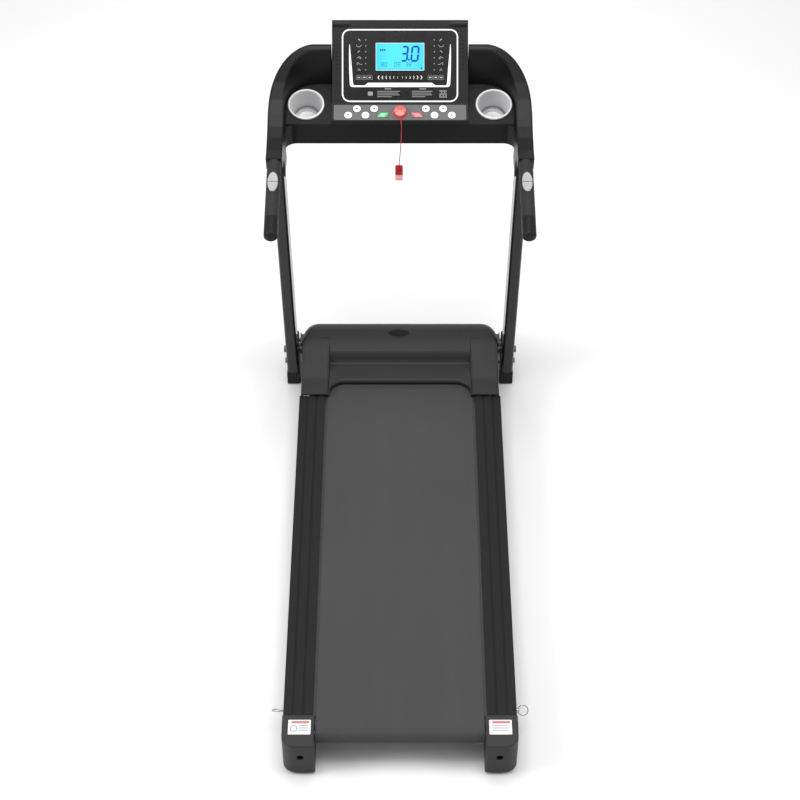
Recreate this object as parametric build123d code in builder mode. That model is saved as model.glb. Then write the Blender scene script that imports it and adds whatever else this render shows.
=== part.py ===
"""Folding home treadmill with a low floor frame, leaning uprights and a tray console.

Millimetres.  X is across the machine, Y runs from the rear end of the deck to the motor,
Z is up, and the floor is Z = 0.  The origin is the middle of the footprint on the floor.
"""
from build123d import *
import os
from math import cos, radians, sin, tan

os.makedirs("parts", exist_ok=True)

# ---- driving dimensions -------------------------------------------------------------
OVERALL_LENGTH = 1555.0
OVERALL_WIDTH = 680.0
REAR = -OVERALL_LENGTH / 2
FRONT = OVERALL_LENGTH / 2
SIDES = (-1, 1)
SIDE_NAMES = {-1: "left", 1: "right"}

# walking surface
BELT_HALF = 210.0
BELT_THICK = 2.0
BELT_TOP = 118.0
ROLLER_R = 22.0
ROLLER_Z = BELT_TOP - BELT_THICK - ROLLER_R
REAR_ROLLER_Y = REAR + 35 + ROLLER_R + BELT_THICK
FRONT_ROLLER_Y = 505.0
RUNNING_GAP = 0.3
BOARD_THICK = 18.0
BOARD_HALF = 226.0

# deck frame, rails and rear caps
TUBE_IN, TUBE_OUT = 232.0, 262.0
TUBE_LOW, TUBE_TOP = 50.0, 100.0
TUBE_WALL = 2.5
TUBE_REAR, TUBE_FRONT = -735.0, 655.0
CROSS_YS = (-560.0, -150.0, 260.0)
CROSS_TOP = 92.0
RAIL_IN, RAIL_OUT, RAIL_TOP = 216.5, 291.0, 124.0
RAIL_REAR, RAIL_FRONT = REAR + 93, 421.0
CAP_IN, CAP_OUT, CAP_LOW, CAP_TOP = 211.5, 293.0, 9.0, 123.0

# deck hinge
PIVOT_Y, PIVOT_Z = 613.0, 126.0
PIVOT_R = 6.0
FOLD_DEGREES = 78.0

# floor frame
BASE_IN, BASE_OUT = 300.5, 337.5
BASE_MID = (BASE_IN + BASE_OUT) / 2
BASE_LOW, BASE_TOP = 4.0, 47.0
BASE_WALL = 3.0
BASE_REAR = 592.0
WHEEL_R = 28.0
WHEEL_Y, WHEEL_Z = FRONT - WHEEL_R, WHEEL_R + 2
BOLT_R = 5.0

# uprights
POST_IN, POST_OUT = 303.0, 336.0
POST_DEPTH = 70.0
POST_WALL = 2.5
POST_LEAN = 0.1417
POST_TOP = 968.0
FOOT_BOLT_Z = 70.0

# gas strut, on the right side between the frame tube and the hood
STRUT_X = 274.0
STRUT_BASE_Y, STRUT_BASE_Z = PIVOT_Y - 10, PIVOT_Z - 45
STRUT_DECK_Y, STRUT_DECK_Z = PIVOT_Y - 300, PIVOT_Z - 46

# console
ARM_IN, ARM_OUT = 299.0, OVERALL_WIDTH / 2
ARM_TOP, ARM_REAR = 1035.0, 375.0
ARM_WEB = 31.0
TRAY_REAR, TRAY_FRONT, TRAY_LOW = 513.0, 651.0, 973.0
TRAY_TILT = 17.0
WALL_TOP, WALL_THICK, WALL_ROUND = 1187.0, 14.0, 126.0
CUP_X, CUP_FORWARD = 243.5, 60.5
CONSOLE_HALF = 176.0
STRIP_TILT = 20.0
STRIP_LENGTH = 51.0
PANEL_TILT = 45.0
PANEL_LENGTH = 216.0
STRIP_START = (509.0, 1050.0)

# grips
GRIP_X, GRIP_R, GRIP_TUBE_R = 319.0, 18.0, 12.5
GRIP_FALL = 9.65
GRIP_LENGTH = 244.0
GRIP_CAP_LENGTH = 60.0


# ---- small helpers ------------------------------------------------------------------
def write_node(builder, name):
    """Label a finished piece and write it to its own STEP file."""
    builder.part.label = name
    export_step(builder.part, f"parts/{name}.step")


def span(side, inner, outer):
    """The X limits of a piece between two distances from the middle plane."""
    return (min(side * inner, side * outer), max(side * inner, side * outer))


def block(xs, ys, zs, mode=Mode.ADD):
    """A box between two limits on each axis."""
    with Locations(((xs[0] + xs[1]) / 2, (ys[0] + ys[1]) / 2, (zs[0] + zs[1]) / 2)):
        Box(xs[1] - xs[0], ys[1] - ys[0], zs[1] - zs[0], mode=mode)


def rod(xs, y, z, radius, mode=Mode.ADD):
    """A round bar along X."""
    with Locations(Location(((xs[0] + xs[1]) / 2, y, z), (0, 90, 0))):
        Cylinder(radius, xs[1] - xs[0], mode=mode)


def side_profile(points, xs, mode=Mode.ADD):
    """A closed outline of (Y, Z) points, extruded across X."""
    with BuildSketch(Plane.YZ.offset(xs[0]), mode=Mode.PRIVATE) as outline:
        with BuildLine():
            Polyline(*points, close=True)
        make_face()
    extrude(outline.sketch, amount=xs[1] - xs[0], mode=mode)


def post_rear(z):
    """Y of the upright's rear face at a height."""
    return BASE_REAR - 2 - POST_LEAN * (z - BASE_TOP)


def loop_between(y_a, r_a, y_b, z_a, r_b, z_b, xs, thick):
    """A flat belt round two rollers: the band between two hulls of circles."""
    with BuildSketch(Plane.YZ.offset(xs[0]), mode=Mode.PRIVATE) as band:
        with Locations((y_a, z_a)):
            Circle(r_a + thick)
        with Locations((y_b, z_b)):
            Circle(r_b + thick)
        make_hull()
    with BuildSketch(Plane.YZ.offset(xs[0]), mode=Mode.PRIVATE) as inside:
        with Locations((y_a, z_a)):
            Circle(r_a)
        with Locations((y_b, z_b)):
            Circle(r_b)
        make_hull()
    extrude(band.sketch, amount=xs[1] - xs[0])
    extrude(inside.sketch, amount=xs[1] - xs[0], mode=Mode.SUBTRACT)


# ---- floor frame --------------------------------------------------------------------
EAR_IN = 297.0
STUB_HALF_X = 13.5
STUB_TOP = 190.0
FORK_Y = WHEEL_Y - WHEEL_R - 6
CROSS_TUBE_YS = (WHEEL_Y - WHEEL_R, WHEEL_Y + 12)

with BuildPart() as base_frame:
    for side in SIDES:
        # floor tube: its top and floor are cut away at the front to leave a wheel fork
        block(span(side, BASE_IN, BASE_OUT), (BASE_REAR, WHEEL_Y + 15), (BASE_LOW, BASE_TOP))
        hollow = span(side, BASE_IN + BASE_WALL, BASE_OUT - BASE_WALL)
        block(hollow, (BASE_REAR, WHEEL_Y + 15), (BASE_LOW + BASE_WALL, BASE_TOP - BASE_WALL), Mode.SUBTRACT)
        block(hollow, (FORK_Y, WHEEL_Y + 15), (BASE_LOW, BASE_TOP), Mode.SUBTRACT)
        # leaning stub that the upright slides over
        rear, front = post_rear(BASE_TOP) + 4, post_rear(BASE_TOP) + POST_DEPTH - 4
        rise = POST_LEAN * (STUB_TOP - BASE_TOP)
        stub = ((rear, BASE_TOP), (front, BASE_TOP), (front - rise, STUB_TOP), (rear - rise, STUB_TOP))
        side_profile(stub, (side * BASE_MID - STUB_HALF_X, side * BASE_MID + STUB_HALF_X))
        bore = ((rear + 3, BASE_TOP), (front - 3, BASE_TOP), (front - rise - 3, STUB_TOP), (rear - rise + 3, STUB_TOP))
        side_profile(bore, (side * BASE_MID - STUB_HALF_X + 3, side * BASE_MID + STUB_HALF_X - 3), Mode.SUBTRACT)
        # hinge ear, welded to the inner side of the tube
        ear = ((BASE_REAR, BASE_LOW + 2), (PIVOT_Y + 40, BASE_LOW + 2), (PIVOT_Y + 20, PIVOT_Z), (PIVOT_Y - 20, PIVOT_Z))
        side_profile(ear, span(side, EAR_IN, BASE_IN))
        rod(span(side, EAR_IN, BASE_IN), PIVOT_Y, PIVOT_Z, 20)
        rod(span(side, EAR_IN - 1, BASE_OUT + 1), PIVOT_Y, PIVOT_Z, PIVOT_R + 0.1, Mode.SUBTRACT)
        rod(span(side, BASE_IN - 1, BASE_OUT + 1), post_rear(FOOT_BOLT_Z) + POST_DEPTH / 2, FOOT_BOLT_Z,
            BOLT_R + 0.1, Mode.SUBTRACT)
        rod(span(side, BASE_IN - 1, BASE_OUT + 1), WHEEL_Y, WHEEL_Z, BOLT_R + 0.1, Mode.SUBTRACT)
    # cross tube between the wheel forks
    block((-BASE_IN, BASE_IN), CROSS_TUBE_YS, (BASE_LOW, BASE_LOW + 40))
    block((-BASE_IN + 1, BASE_IN - 1), (CROSS_TUBE_YS[0] + 2, CROSS_TUBE_YS[1] - 2), (BASE_LOW + 2, BASE_LOW + 38), Mode.SUBTRACT)
    # stud that carries the gas strut
    rod((STRUT_X - 7, EAR_IN), STRUT_BASE_Y, STRUT_BASE_Z, BOLT_R)
write_node(base_frame, "base_frame")

with BuildPart() as base_tube_plugs:
    for side in SIDES:
        block(span(side, BASE_IN, BASE_OUT), (BASE_REAR - 3.5, BASE_REAR), (BASE_LOW, BASE_TOP))
        block(span(side, BASE_IN + BASE_WALL + 0.2, BASE_OUT - BASE_WALL - 0.2), (BASE_REAR, BASE_REAR + 14),
              (BASE_LOW + BASE_WALL + 0.2, BASE_TOP - BASE_WALL - 0.2))
    plug_faces = base_tube_plugs.faces().filter_by(Axis.Y).group_by(Axis.Y)[0]
    fillet(plug_faces.edges(), 1.6)
write_node(base_tube_plugs, "base_tube_plugs")

with BuildPart() as base_feet:
    for side in SIDES:
        for foot_y in (BASE_REAR + 18, FORK_Y - 20):
            block(span(side, BASE_IN + 3, BASE_OUT - 3), (foot_y - 16, foot_y + 16), (0, BASE_LOW))
    fillet(base_feet.edges().filter_by(Axis.Z), 4)
    chamfer(base_feet.faces().sort_by(Axis.Z)[:4].edges(), 0.8)
write_node(base_feet, "base_feet")

for side in SIDES:
    with BuildPart() as wheel:
        rod(span(side, BASE_MID - 11, BASE_MID + 11), WHEEL_Y, WHEEL_Z, WHEEL_R)
        fillet(wheel.edges().filter_by(GeomType.CIRCLE), 4)
        for face_x in (BASE_MID - 11, BASE_MID + 11):
            with Locations(Location((side * face_x, WHEEL_Y, WHEEL_Z), (0, 90, 0))):
                with PolarLocations(15, 5):
                    Cylinder(4, 8, mode=Mode.SUBTRACT)
        rod(span(side, BASE_MID - 12, BASE_MID + 12), WHEEL_Y, WHEEL_Z, BOLT_R + 0.06, Mode.SUBTRACT)
    write_node(wheel, f"wheel_{SIDE_NAMES[side]}")

# two foot bolts and two wheel bolts are the same M10 bolt with its nut
with BuildPart() as frame_bolts:
    for side in SIDES:
        for bolt_y, bolt_z in ((post_rear(FOOT_BOLT_Z) + POST_DEPTH / 2, FOOT_BOLT_Z), (WHEEL_Y, WHEEL_Z)):
            rod(span(side, BASE_IN + 0.5, BASE_OUT), bolt_y, bolt_z, BOLT_R)
            rod(span(side, BASE_OUT, BASE_OUT + 5), bolt_y, bolt_z, 8)
            rod(span(side, BASE_OUT + 2.5, BASE_OUT + 5), bolt_y, bolt_z, 3, Mode.SUBTRACT)
write_node(frame_bolts, "frame_bolts")

with BuildPart() as pivot_bolts:
    for side in SIDES:
        rod(span(side, 264, BASE_OUT), PIVOT_Y, PIVOT_Z, PIVOT_R)
        rod(span(side, BASE_OUT, BASE_OUT + 6), PIVOT_Y, PIVOT_Z, 10)
        rod(span(side, BASE_OUT + 3, BASE_OUT + 6), PIVOT_Y, PIVOT_Z, 4, Mode.SUBTRACT)
write_node(pivot_bolts, "pivot_bolts")

# ---- uprights -----------------------------------------------------------------------
for side in SIDES:
    with BuildPart() as upright:
        rise = POST_LEAN * (POST_TOP - BASE_TOP)
        low_rear, low_front = post_rear(BASE_TOP), post_rear(BASE_TOP) + POST_DEPTH
        outline = ((low_rear, BASE_TOP), (low_front, BASE_TOP), (low_front - rise, POST_TOP), (low_rear - rise, POST_TOP))
        side_profile(outline, span(side, POST_IN, POST_OUT))
        fillet(upright.edges().filter_by(lambda e: abs(e.length - (POST_TOP - BASE_TOP)) < 20), 6)
        w = POST_WALL
        core = ((low_rear + w, BASE_TOP), (low_front - w, BASE_TOP), (low_front - rise - w, POST_TOP), (low_rear - rise + w, POST_TOP))
        side_profile(core, span(side, POST_IN + w, POST_OUT - w), Mode.SUBTRACT)
        rod(span(side, POST_IN - 1, POST_OUT + 1), PIVOT_Y, PIVOT_Z, PIVOT_R + 0.1, Mode.SUBTRACT)
        rod(span(side, POST_IN - 1, POST_OUT + 1), post_rear(FOOT_BOLT_Z) + POST_DEPTH / 2, FOOT_BOLT_Z,
            BOLT_R + 0.1, Mode.SUBTRACT)
    write_node(upright, f"upright_{SIDE_NAMES[side]}")

# ---- deck frame ---------------------------------------------------------------------
LEG_Y, LEG_Z = -560.0, 70.0
LEG_STUD_R = 5.0
PIN_Y, PIN_Z, PIN_R = -628.0, 62.0, 4.0
ADJUST_X, ADJUST_Z = 247.0, 78.0
AXLE_R = 5.5

with BuildPart() as deck_frame:
    for side in SIDES:
        block(span(side, TUBE_IN, TUBE_OUT), (TUBE_REAR, TUBE_FRONT), (TUBE_LOW, TUBE_TOP))
        inner = span(side, TUBE_IN + TUBE_WALL, TUBE_OUT - TUBE_WALL)
        block(inner, (TUBE_REAR + 3, TUBE_FRONT), (TUBE_LOW + TUBE_WALL, TUBE_TOP - TUBE_WALL), Mode.SUBTRACT)
        for roller_y in (REAR_ROLLER_Y, FRONT_ROLLER_Y):
            rod(span(side, TUBE_IN - 1, TUBE_IN + TUBE_WALL + 1), roller_y, ROLLER_Z, AXLE_R + 0.06, Mode.SUBTRACT)
        with Locations(Location((side * ADJUST_X, TUBE_REAR + 1, ADJUST_Z), (90, 0, 0))):
            Cylinder(4.1, 12, mode=Mode.SUBTRACT)
        rod(span(side, TUBE_IN + 8, TUBE_OUT + 1), PIN_Y, PIN_Z, PIN_R + 0.06, Mode.SUBTRACT)
        # stud that the incline leg turns on
        rod(span(side, TUBE_OUT, TUBE_OUT + 21), LEG_Y, LEG_Z, LEG_STUD_R)
        # hinge plate and its bush
        plate = ((PIVOT_Y - 40, TUBE_LOW + 6), (PIVOT_Y + 38, TUBE_LOW + 6), (PIVOT_Y + 16, PIVOT_Z), (PIVOT_Y - 16, PIVOT_Z))
        side_profile(plate, span(side, TUBE_OUT, TUBE_OUT + 3.5))
        rod(span(side, TUBE_OUT, TUBE_OUT + 3.5), PIVOT_Y, PIVOT_Z, 16)
        rod(span(side, TUBE_OUT + 3.5, 283), PIVOT_Y, PIVOT_Z, 11)
        rod(span(side, TUBE_OUT - 1, 284), PIVOT_Y, PIVOT_Z, PIVOT_R + 0.06, Mode.SUBTRACT)
    for cross_y in CROSS_YS:
        block((-TUBE_IN, TUBE_IN), (cross_y - 20, cross_y + 20), (CROSS_TOP - 16, CROSS_TOP))
        block((-TUBE_IN + 1, TUBE_IN - 1), (cross_y - 18, cross_y + 18), (CROSS_TOP - 14, CROSS_TOP - 2), Mode.SUBTRACT)
    # front cross channel that the motor stands on
    block((-TUBE_IN, TUBE_IN), (560, 640), (62, 66))
    # pin for the gas strut's rod end
    rod((TUBE_OUT, STRUT_X + 9), STRUT_DECK_Y, STRUT_DECK_Z, BOLT_R)
write_node(deck_frame, "deck_frame")

with BuildPart() as deck_board:
    block((-BOARD_HALF, BOARD_HALF), (REAR_ROLLER_Y + 36, FRONT_ROLLER_Y - 36),
          (BELT_TOP - BELT_THICK - BOARD_THICK, BELT_TOP - BELT_THICK - 0.05))
write_node(deck_board, "deck_board")

with BuildPart() as deck_cushions:
    for cross_y in CROSS_YS:
        for x in (-165.0, 165.0):
            block((x - 25, x + 25), (cross_y - 15, cross_y + 15), (CROSS_TOP, BELT_TOP - BELT_THICK - BOARD_THICK))
    fillet(deck_cushions.edges().filter_by(Axis.Z), 6)
write_node(deck_cushions, "deck_cushions")

with BuildPart() as running_belt:
    loop_between(REAR_ROLLER_Y, ROLLER_R, FRONT_ROLLER_Y, ROLLER_Z, ROLLER_R, ROLLER_Z,
                 (-BELT_HALF, BELT_HALF), BELT_THICK)
write_node(running_belt, "running_belt")

# ---- rails, rear caps, hood and pan -------------------------------------------------
GROOVE_XS = (241.0, 267.0)

with BuildPart() as side_rails:
    for side in SIDES:
        ys = (RAIL_REAR, RAIL_FRONT)
        block(span(side, RAIL_IN, RAIL_OUT), ys, (RAIL_TOP - 4, RAIL_TOP))
        block(span(side, RAIL_OUT - 3, RAIL_OUT), ys, (76, RAIL_TOP - 4))
        for rib_x in (TUBE_IN + 4, TUBE_OUT - 7):
            block(span(side, rib_x, rib_x + 3), ys, (TUBE_TOP, RAIL_TOP - 4))
        for groove_x in GROOVE_XS:
            block(span(side, groove_x - 2.5, groove_x + 2.5), ys, (RAIL_TOP - 2.2, RAIL_TOP), Mode.SUBTRACT)
    rail_edges = side_rails.edges().filter_by(Axis.Y).group_by(Axis.Z)[-1]
    fillet(rail_edges.group_by(Axis.X)[0], 2.5)
    fillet(side_rails.edges().filter_by(Axis.Y).group_by(Axis.Z)[-1].group_by(Axis.X)[-1], 2.5)
write_node(side_rails, "side_rails")

CAP_WALL = 4.0


def cap_plan(side, inset, corner):
    """The rear cap's plan outline, pulled in by a wall, with its outer rear corner rounded."""
    xs = span(side, CAP_IN + inset, CAP_OUT - inset)
    with BuildSketch(mode=Mode.PRIVATE) as plan:
        with Locations(((xs[0] + xs[1]) / 2, (REAR + inset + RAIL_REAR) / 2)):
            Rectangle(xs[1] - xs[0], RAIL_REAR - REAR - inset)
        rear_corners = plan.vertices().group_by(Axis.Y)[0].sort_by(Axis.X)
        fillet(rear_corners[0 if side < 0 else -1], corner)
        fillet(plan.vertices().group_by(Axis.Y)[0].sort_by(Axis.X)[-1 if side < 0 else 0], max(6 - inset, 1))
    return plan.sketch


with BuildPart() as rear_caps:
    for side in SIDES:
        extrude(cap_plan(side, 0, 34).moved(Location((0, 0, CAP_LOW))), amount=CAP_TOP - CAP_LOW)
    top_rims = rear_caps.faces().filter_by(Axis.Z).group_by(Axis.Z)[-1].edges()
    fillet(top_rims.filter_by(lambda e: e.center().Y < RAIL_REAR - 1), 4)
    for side in SIDES:
        # room inside for the frame tube, open to the front, and for the roller's end
        extrude(cap_plan(side, CAP_WALL, 30).moved(Location((0, 0, CAP_LOW + CAP_WALL))),
                amount=CAP_TOP - CAP_LOW - 2 * CAP_WALL, mode=Mode.SUBTRACT)
        block(span(side, CAP_IN - 1, CAP_IN + 5), (REAR_ROLLER_Y - 12, RAIL_REAR),
              (ROLLER_Z - 12, ROLLER_Z + 12), Mode.SUBTRACT)
        # opening for the key that turns the belt adjuster
        with Locations(Location((side * ADJUST_X, REAR + 3, ADJUST_Z - 3), (90, 0, 0))):
            Cylinder(9, 14, mode=Mode.SUBTRACT)
write_node(rear_caps, "rear_caps")

with BuildPart() as adjuster_bolts:
    for side in SIDES:
        with Locations(Location((side * ADJUST_X, TUBE_REAR - 4, ADJUST_Z), (90, 0, 0))):
            Cylinder(7, 8)
            with Locations((0, 0, 2.5)):
                Cylinder(3, 5, mode=Mode.SUBTRACT)
        with Locations(Location((side * ADJUST_X, TUBE_REAR + 35, ADJUST_Z), (90, 0, 0))):
            Cylinder(4, 70)
write_node(adjuster_bolts, "adjuster_bolts")

HOOD_HALF = 287.5
HOOD_WALL = 3.0
HOOD_REAR, HOOD_FRONT = RAIL_FRONT + 0.5, 701.0
HOOD_CORNER = 48.0
HOOD_RISE = 201.0
HOOD_LOW = 62.0
LEDGE_HALF = 205.0
# side view, as (Y, Z): run-out under the legs, shoulder, crown and nose
SHOULDER = ((400, 40), (400, 130), (474, 137), (545, 168), (590, 190), (632, 198), (655, 189),
            (672, 172), (692, 140), (HOOD_FRONT, 105), (696, 40))
# what is taken out between the shoulders: lip, ledge and the hollow step behind it
SUNKEN = ((390, 118), (471, 118), (474, 131), (480, 136), (536, 141), (541, 147), (545, 162), (552, 172),
          (590, 188.5), (600, 260), (390, 260))


def hood_outline(inset, sunken):
    """The hood's side view with rounded crown and nose, with or without the sunken part, pulled in by a wall."""
    with BuildSketch(Plane.YZ, mode=Mode.PRIVATE) as outline:
        with BuildLine():
            Polyline(*SHOULDER, close=True)
        make_face()
        fillet(outline.vertices().filter_by_position(Axis.X, 530, HOOD_FRONT - 1), 14)
        if sunken:
            with BuildLine():
                Polyline(*SUNKEN, close=True)
            make_face(mode=Mode.SUBTRACT)
        if inset:
            offset(amount=-inset, kind=Kind.INTERSECTION, mode=Mode.REPLACE)
    return outline.sketch


def hood_front(inset):
    """The hood seen from half way up between the rear and the top: its two far corners are well rounded."""
    with BuildSketch(Plane(origin=(0, 560, 0), x_dir=(1, 0, 0), z_dir=(0, -1, 1)), mode=Mode.PRIVATE) as outline:
        Rectangle(2 * (HOOD_HALF - inset), 2 * HOOD_RISE - 2 * inset)
        fillet(outline.vertices().group_by(Axis.Y)[-1], HOOD_CORNER - inset)
    return outline.sketch


def hood_body(inset):
    """The hood without its sunken part, pulled in by a wall."""
    with BuildPart() as body:
        extrude(hood_outline(inset, False), amount=HOOD_HALF - inset, both=True)
        extrude(hood_front(inset), amount=600, both=True, mode=Mode.INTERSECT)
    return body.part


with BuildSketch(Plane.YZ, mode=Mode.PRIVATE) as sunken_area:
    with BuildLine():
        Polyline(*SUNKEN, close=True)
    make_face()
hood_solid, hood_cavity = hood_body(0), hood_body(HOOD_WALL)

with BuildPart() as motor_hood:
    add(hood_solid)
    add(hood_cavity, mode=Mode.SUBTRACT)
    extrude(hood_outline(0, False), amount=LEDGE_HALF + HOOD_WALL, both=True)
    extrude(sunken_area.sketch, amount=LEDGE_HALF, both=True, mode=Mode.SUBTRACT)
    extrude(hood_outline(HOOD_WALL, True), amount=LEDGE_HALF + HOOD_WALL, both=True, mode=Mode.SUBTRACT)
    # open below and at the rear, where the rails and the belt come in
    block((-320, 320), (380, 720), (30, HOOD_LOW), Mode.SUBTRACT)
    block((-320, 320), (380, HOOD_REAR), (30, 210), Mode.SUBTRACT)
    block((-RAIL_IN + 2, RAIL_IN - 2), (380, 470), (30, 210), Mode.SUBTRACT)
    block((-RAIL_IN + 2, RAIL_IN - 2), (380, 535), (30, BELT_TOP + 2.5), Mode.SUBTRACT)
    # arches over the hinge; the right one also lets the strut's stud swing past
    for side, ahead in ((-1, 18), (1, 56)):
        block(span(side, 270, 290), (PIVOT_Y - 22, PIVOT_Y + ahead), (50, PIVOT_Z + 13), Mode.SUBTRACT)
write_node(motor_hood, "motor_hood")

with BuildPart() as belly_pan:
    block((-TUBE_IN + 1, TUBE_IN - 1), (440, 690), (TUBE_LOW, TUBE_LOW + 12))
    fillet(belly_pan.edges().filter_by(Axis.Z), 12)
    block((-TUBE_IN + 4, TUBE_IN - 4), (443, 687), (TUBE_LOW + 2.5, TUBE_LOW + 12), Mode.SUBTRACT)
    with GridLocations(26, 10, 8, 5):
        with Locations((0, 520, TUBE_LOW)):
            Box(14, 3, 8, mode=Mode.SUBTRACT)
write_node(belly_pan, "belly_pan")

# ---- drive --------------------------------------------------------------------------
MOTOR_Y, MOTOR_Z, MOTOR_R = 608.0, 122.0, 44.0
DRIVE_XS = (-226.0, -216.0)
ROLLER_PULLEY_R, MOTOR_PULLEY_R = 30.0, 14.0

with BuildPart() as front_roller:
    rod((-BELT_HALF - 3, BELT_HALF + 3), FRONT_ROLLER_Y, ROLLER_Z, ROLLER_R - RUNNING_GAP)
    rod((-TUBE_IN - 2.3, TUBE_IN + 2.3), FRONT_ROLLER_Y, ROLLER_Z, AXLE_R)
    rod((DRIVE_XS[0], DRIVE_XS[1]), FRONT_ROLLER_Y, ROLLER_Z, ROLLER_PULLEY_R - RUNNING_GAP)
    rod((DRIVE_XS[0] - 2, DRIVE_XS[0]), FRONT_ROLLER_Y, ROLLER_Z, ROLLER_PULLEY_R + 1)
write_node(front_roller, "front_roller")

with BuildPart() as rear_roller:
    rod((-BELT_HALF + 2, BELT_HALF - 2), REAR_ROLLER_Y, ROLLER_Z, ROLLER_R - RUNNING_GAP)
    rod((-TUBE_IN - 2.3, TUBE_IN + 2.3), REAR_ROLLER_Y, ROLLER_Z, AXLE_R)
write_node(rear_roller, "rear_roller")

with BuildPart() as drive_motor:
    rod((-140, 30), MOTOR_Y, MOTOR_Z, MOTOR_R)
    chamfer(drive_motor.edges().filter_by(GeomType.CIRCLE), 4)
    rod((30, 44), MOTOR_Y, MOTOR_Z, 24)
    block((-110, 0), (MOTOR_Y - 30, MOTOR_Y + 30), (66, MOTOR_Z - 30))
    with Locations(Location((20, MOTOR_Y, MOTOR_Z), (0, 90, 0))):
        with PolarLocations(MOTOR_R, 12):
            Box(5, 6, 14, mode=Mode.SUBTRACT)
    rod((-141, -110), MOTOR_Y, MOTOR_Z, BOLT_R + 1.06, Mode.SUBTRACT)
write_node(drive_motor, "drive_motor")

with BuildPart() as motor_pulley:
    rod((DRIVE_XS[0] - 2, -112), MOTOR_Y, MOTOR_Z, BOLT_R + 1)
    rod((-172, -150), MOTOR_Y, MOTOR_Z, 50)
    fillet(motor_pulley.edges().filter_by(GeomType.CIRCLE).group_by(SortBy.RADIUS)[-1], 3)
    rod((DRIVE_XS[0], DRIVE_XS[1]), MOTOR_Y, MOTOR_Z, MOTOR_PULLEY_R - RUNNING_GAP)
write_node(motor_pulley, "motor_pulley")

with BuildPart() as drive_belt:
    loop_between(FRONT_ROLLER_Y, ROLLER_PULLEY_R, MOTOR_Y, ROLLER_Z, MOTOR_PULLEY_R, MOTOR_Z, DRIVE_XS, 2)
write_node(drive_belt, "drive_belt")

with BuildPart() as motor_controller:
    block((70, 200), (565, 635), (66, 72))
    for fin in range(9):
        block((74 + 14 * fin, 78 + 14 * fin), (568, 632), (72, 96))
write_node(motor_controller, "motor_controller")

# ---- incline legs and their lock pins -----------------------------------------------
FOOT_Y, FOOT_R = -640.0, 14.0
SLOT_R = ((PIN_Y - LEG_Y) ** 2 + (PIN_Z - LEG_Z) ** 2) ** 0.5
LEG_DEGREES = 24.0
LUG_X, RING_R, RING_WIRE = 298.0, 13.0, 1.1
RING_TILT = {-1: -44, 1: 46}
# the pin's path through the leg as the leg swings, with room to spare at both ends
pin_path = CenterArc((LEG_Y, LEG_Z), SLOT_R, 188.2, -LEG_DEGREES - 3).edge()

for side in SIDES:
    with BuildPart() as incline_leg:
        with BuildSketch(Plane.YZ.offset(span(side, 270, 276)[0])) as leg_plate:
            with Locations((LEG_Y, LEG_Z)):
                Circle(13)
            with Locations((-630, 88)):
                Circle(14)
            with Locations((FOOT_Y, FOOT_R)):
                Circle(11)
            make_hull()
            SlotArc(pin_path, 2 * PIN_R + 0.8, mode=Mode.SUBTRACT)
        extrude(amount=6)
        rod(span(side, 269, 277), LEG_Y, LEG_Z, LEG_STUD_R + 0.06, Mode.SUBTRACT)
        rod(span(side, 264, 286), FOOT_Y, FOOT_R, FOOT_R)
    write_node(incline_leg, f"incline_leg_{SIDE_NAMES[side]}")

    with BuildPart() as lock_pin:
        rod(span(side, 241, 286), PIN_Y, PIN_Z, PIN_R)
        rod(span(side, 284, 293), PIN_Y, PIN_Z, 7)
        rod(span(side, 293, LUG_X + 4), PIN_Y, PIN_Z, 3.5)
        tilt = RING_TILT[side]
        with Locations(Location((side * LUG_X, PIN_Y, PIN_Z), (tilt - 90, 0, 0))):
            Cylinder(1.9, 12, mode=Mode.SUBTRACT)
        with Locations(Location((side * (LUG_X + RING_R), PIN_Y, PIN_Z), (tilt, 0, 0))):
            Torus(RING_R, RING_WIRE)
    write_node(lock_pin, f"lock_pin_{SIDE_NAMES[side]}")

# ---- gas strut ----------------------------------------------------------------------
# The strut lies in its own plane: local X runs from the floor frame's stud to the deck's pin.
strut_run = Vector(0, STRUT_DECK_Y - STRUT_BASE_Y, STRUT_DECK_Z - STRUT_BASE_Z)
STRUT_REST = strut_run.length
strut_plane = Plane(origin=(STRUT_X, STRUT_BASE_Y, STRUT_BASE_Z), x_dir=strut_run, z_dir=(1, 0, 0))
STRUT_R, STRUT_ROD_R = 8.0, 4.0
EYE_PLAY = 9.0

with BuildPart() as strut_cylinder:
    with BuildSketch(strut_plane.offset(-5)):
        Circle(9)
        Circle(BOLT_R + 0.06, mode=Mode.SUBTRACT)
    extrude(amount=10)
    with BuildSketch(Plane(strut_plane.origin + strut_plane.x_dir * 8, x_dir=(1, 0, 0), z_dir=strut_plane.x_dir)):
        Circle(STRUT_R)
    extrude(amount=162)
    with BuildSketch(Plane(strut_plane.origin + strut_plane.x_dir * 20, x_dir=(1, 0, 0), z_dir=strut_plane.x_dir)):
        Circle(STRUT_ROD_R + 0.06)
    extrude(amount=160, mode=Mode.SUBTRACT)
write_node(strut_cylinder, "strut_cylinder")

with BuildPart() as strut_rod:
    with BuildSketch(Plane(strut_plane.origin + strut_plane.x_dir * 90, x_dir=(1, 0, 0), z_dir=strut_plane.x_dir)):
        Circle(STRUT_ROD_R)
    extrude(amount=STRUT_REST - 90 - BOLT_R - EYE_PLAY - 2)
    with BuildSketch(strut_plane.offset(-5)):
        with Locations((STRUT_REST, 0)):
            Circle(BOLT_R + EYE_PLAY + 4)
            Circle(BOLT_R + EYE_PLAY, mode=Mode.SUBTRACT)
    extrude(amount=10)
write_node(strut_rod, "strut_rod")

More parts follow.
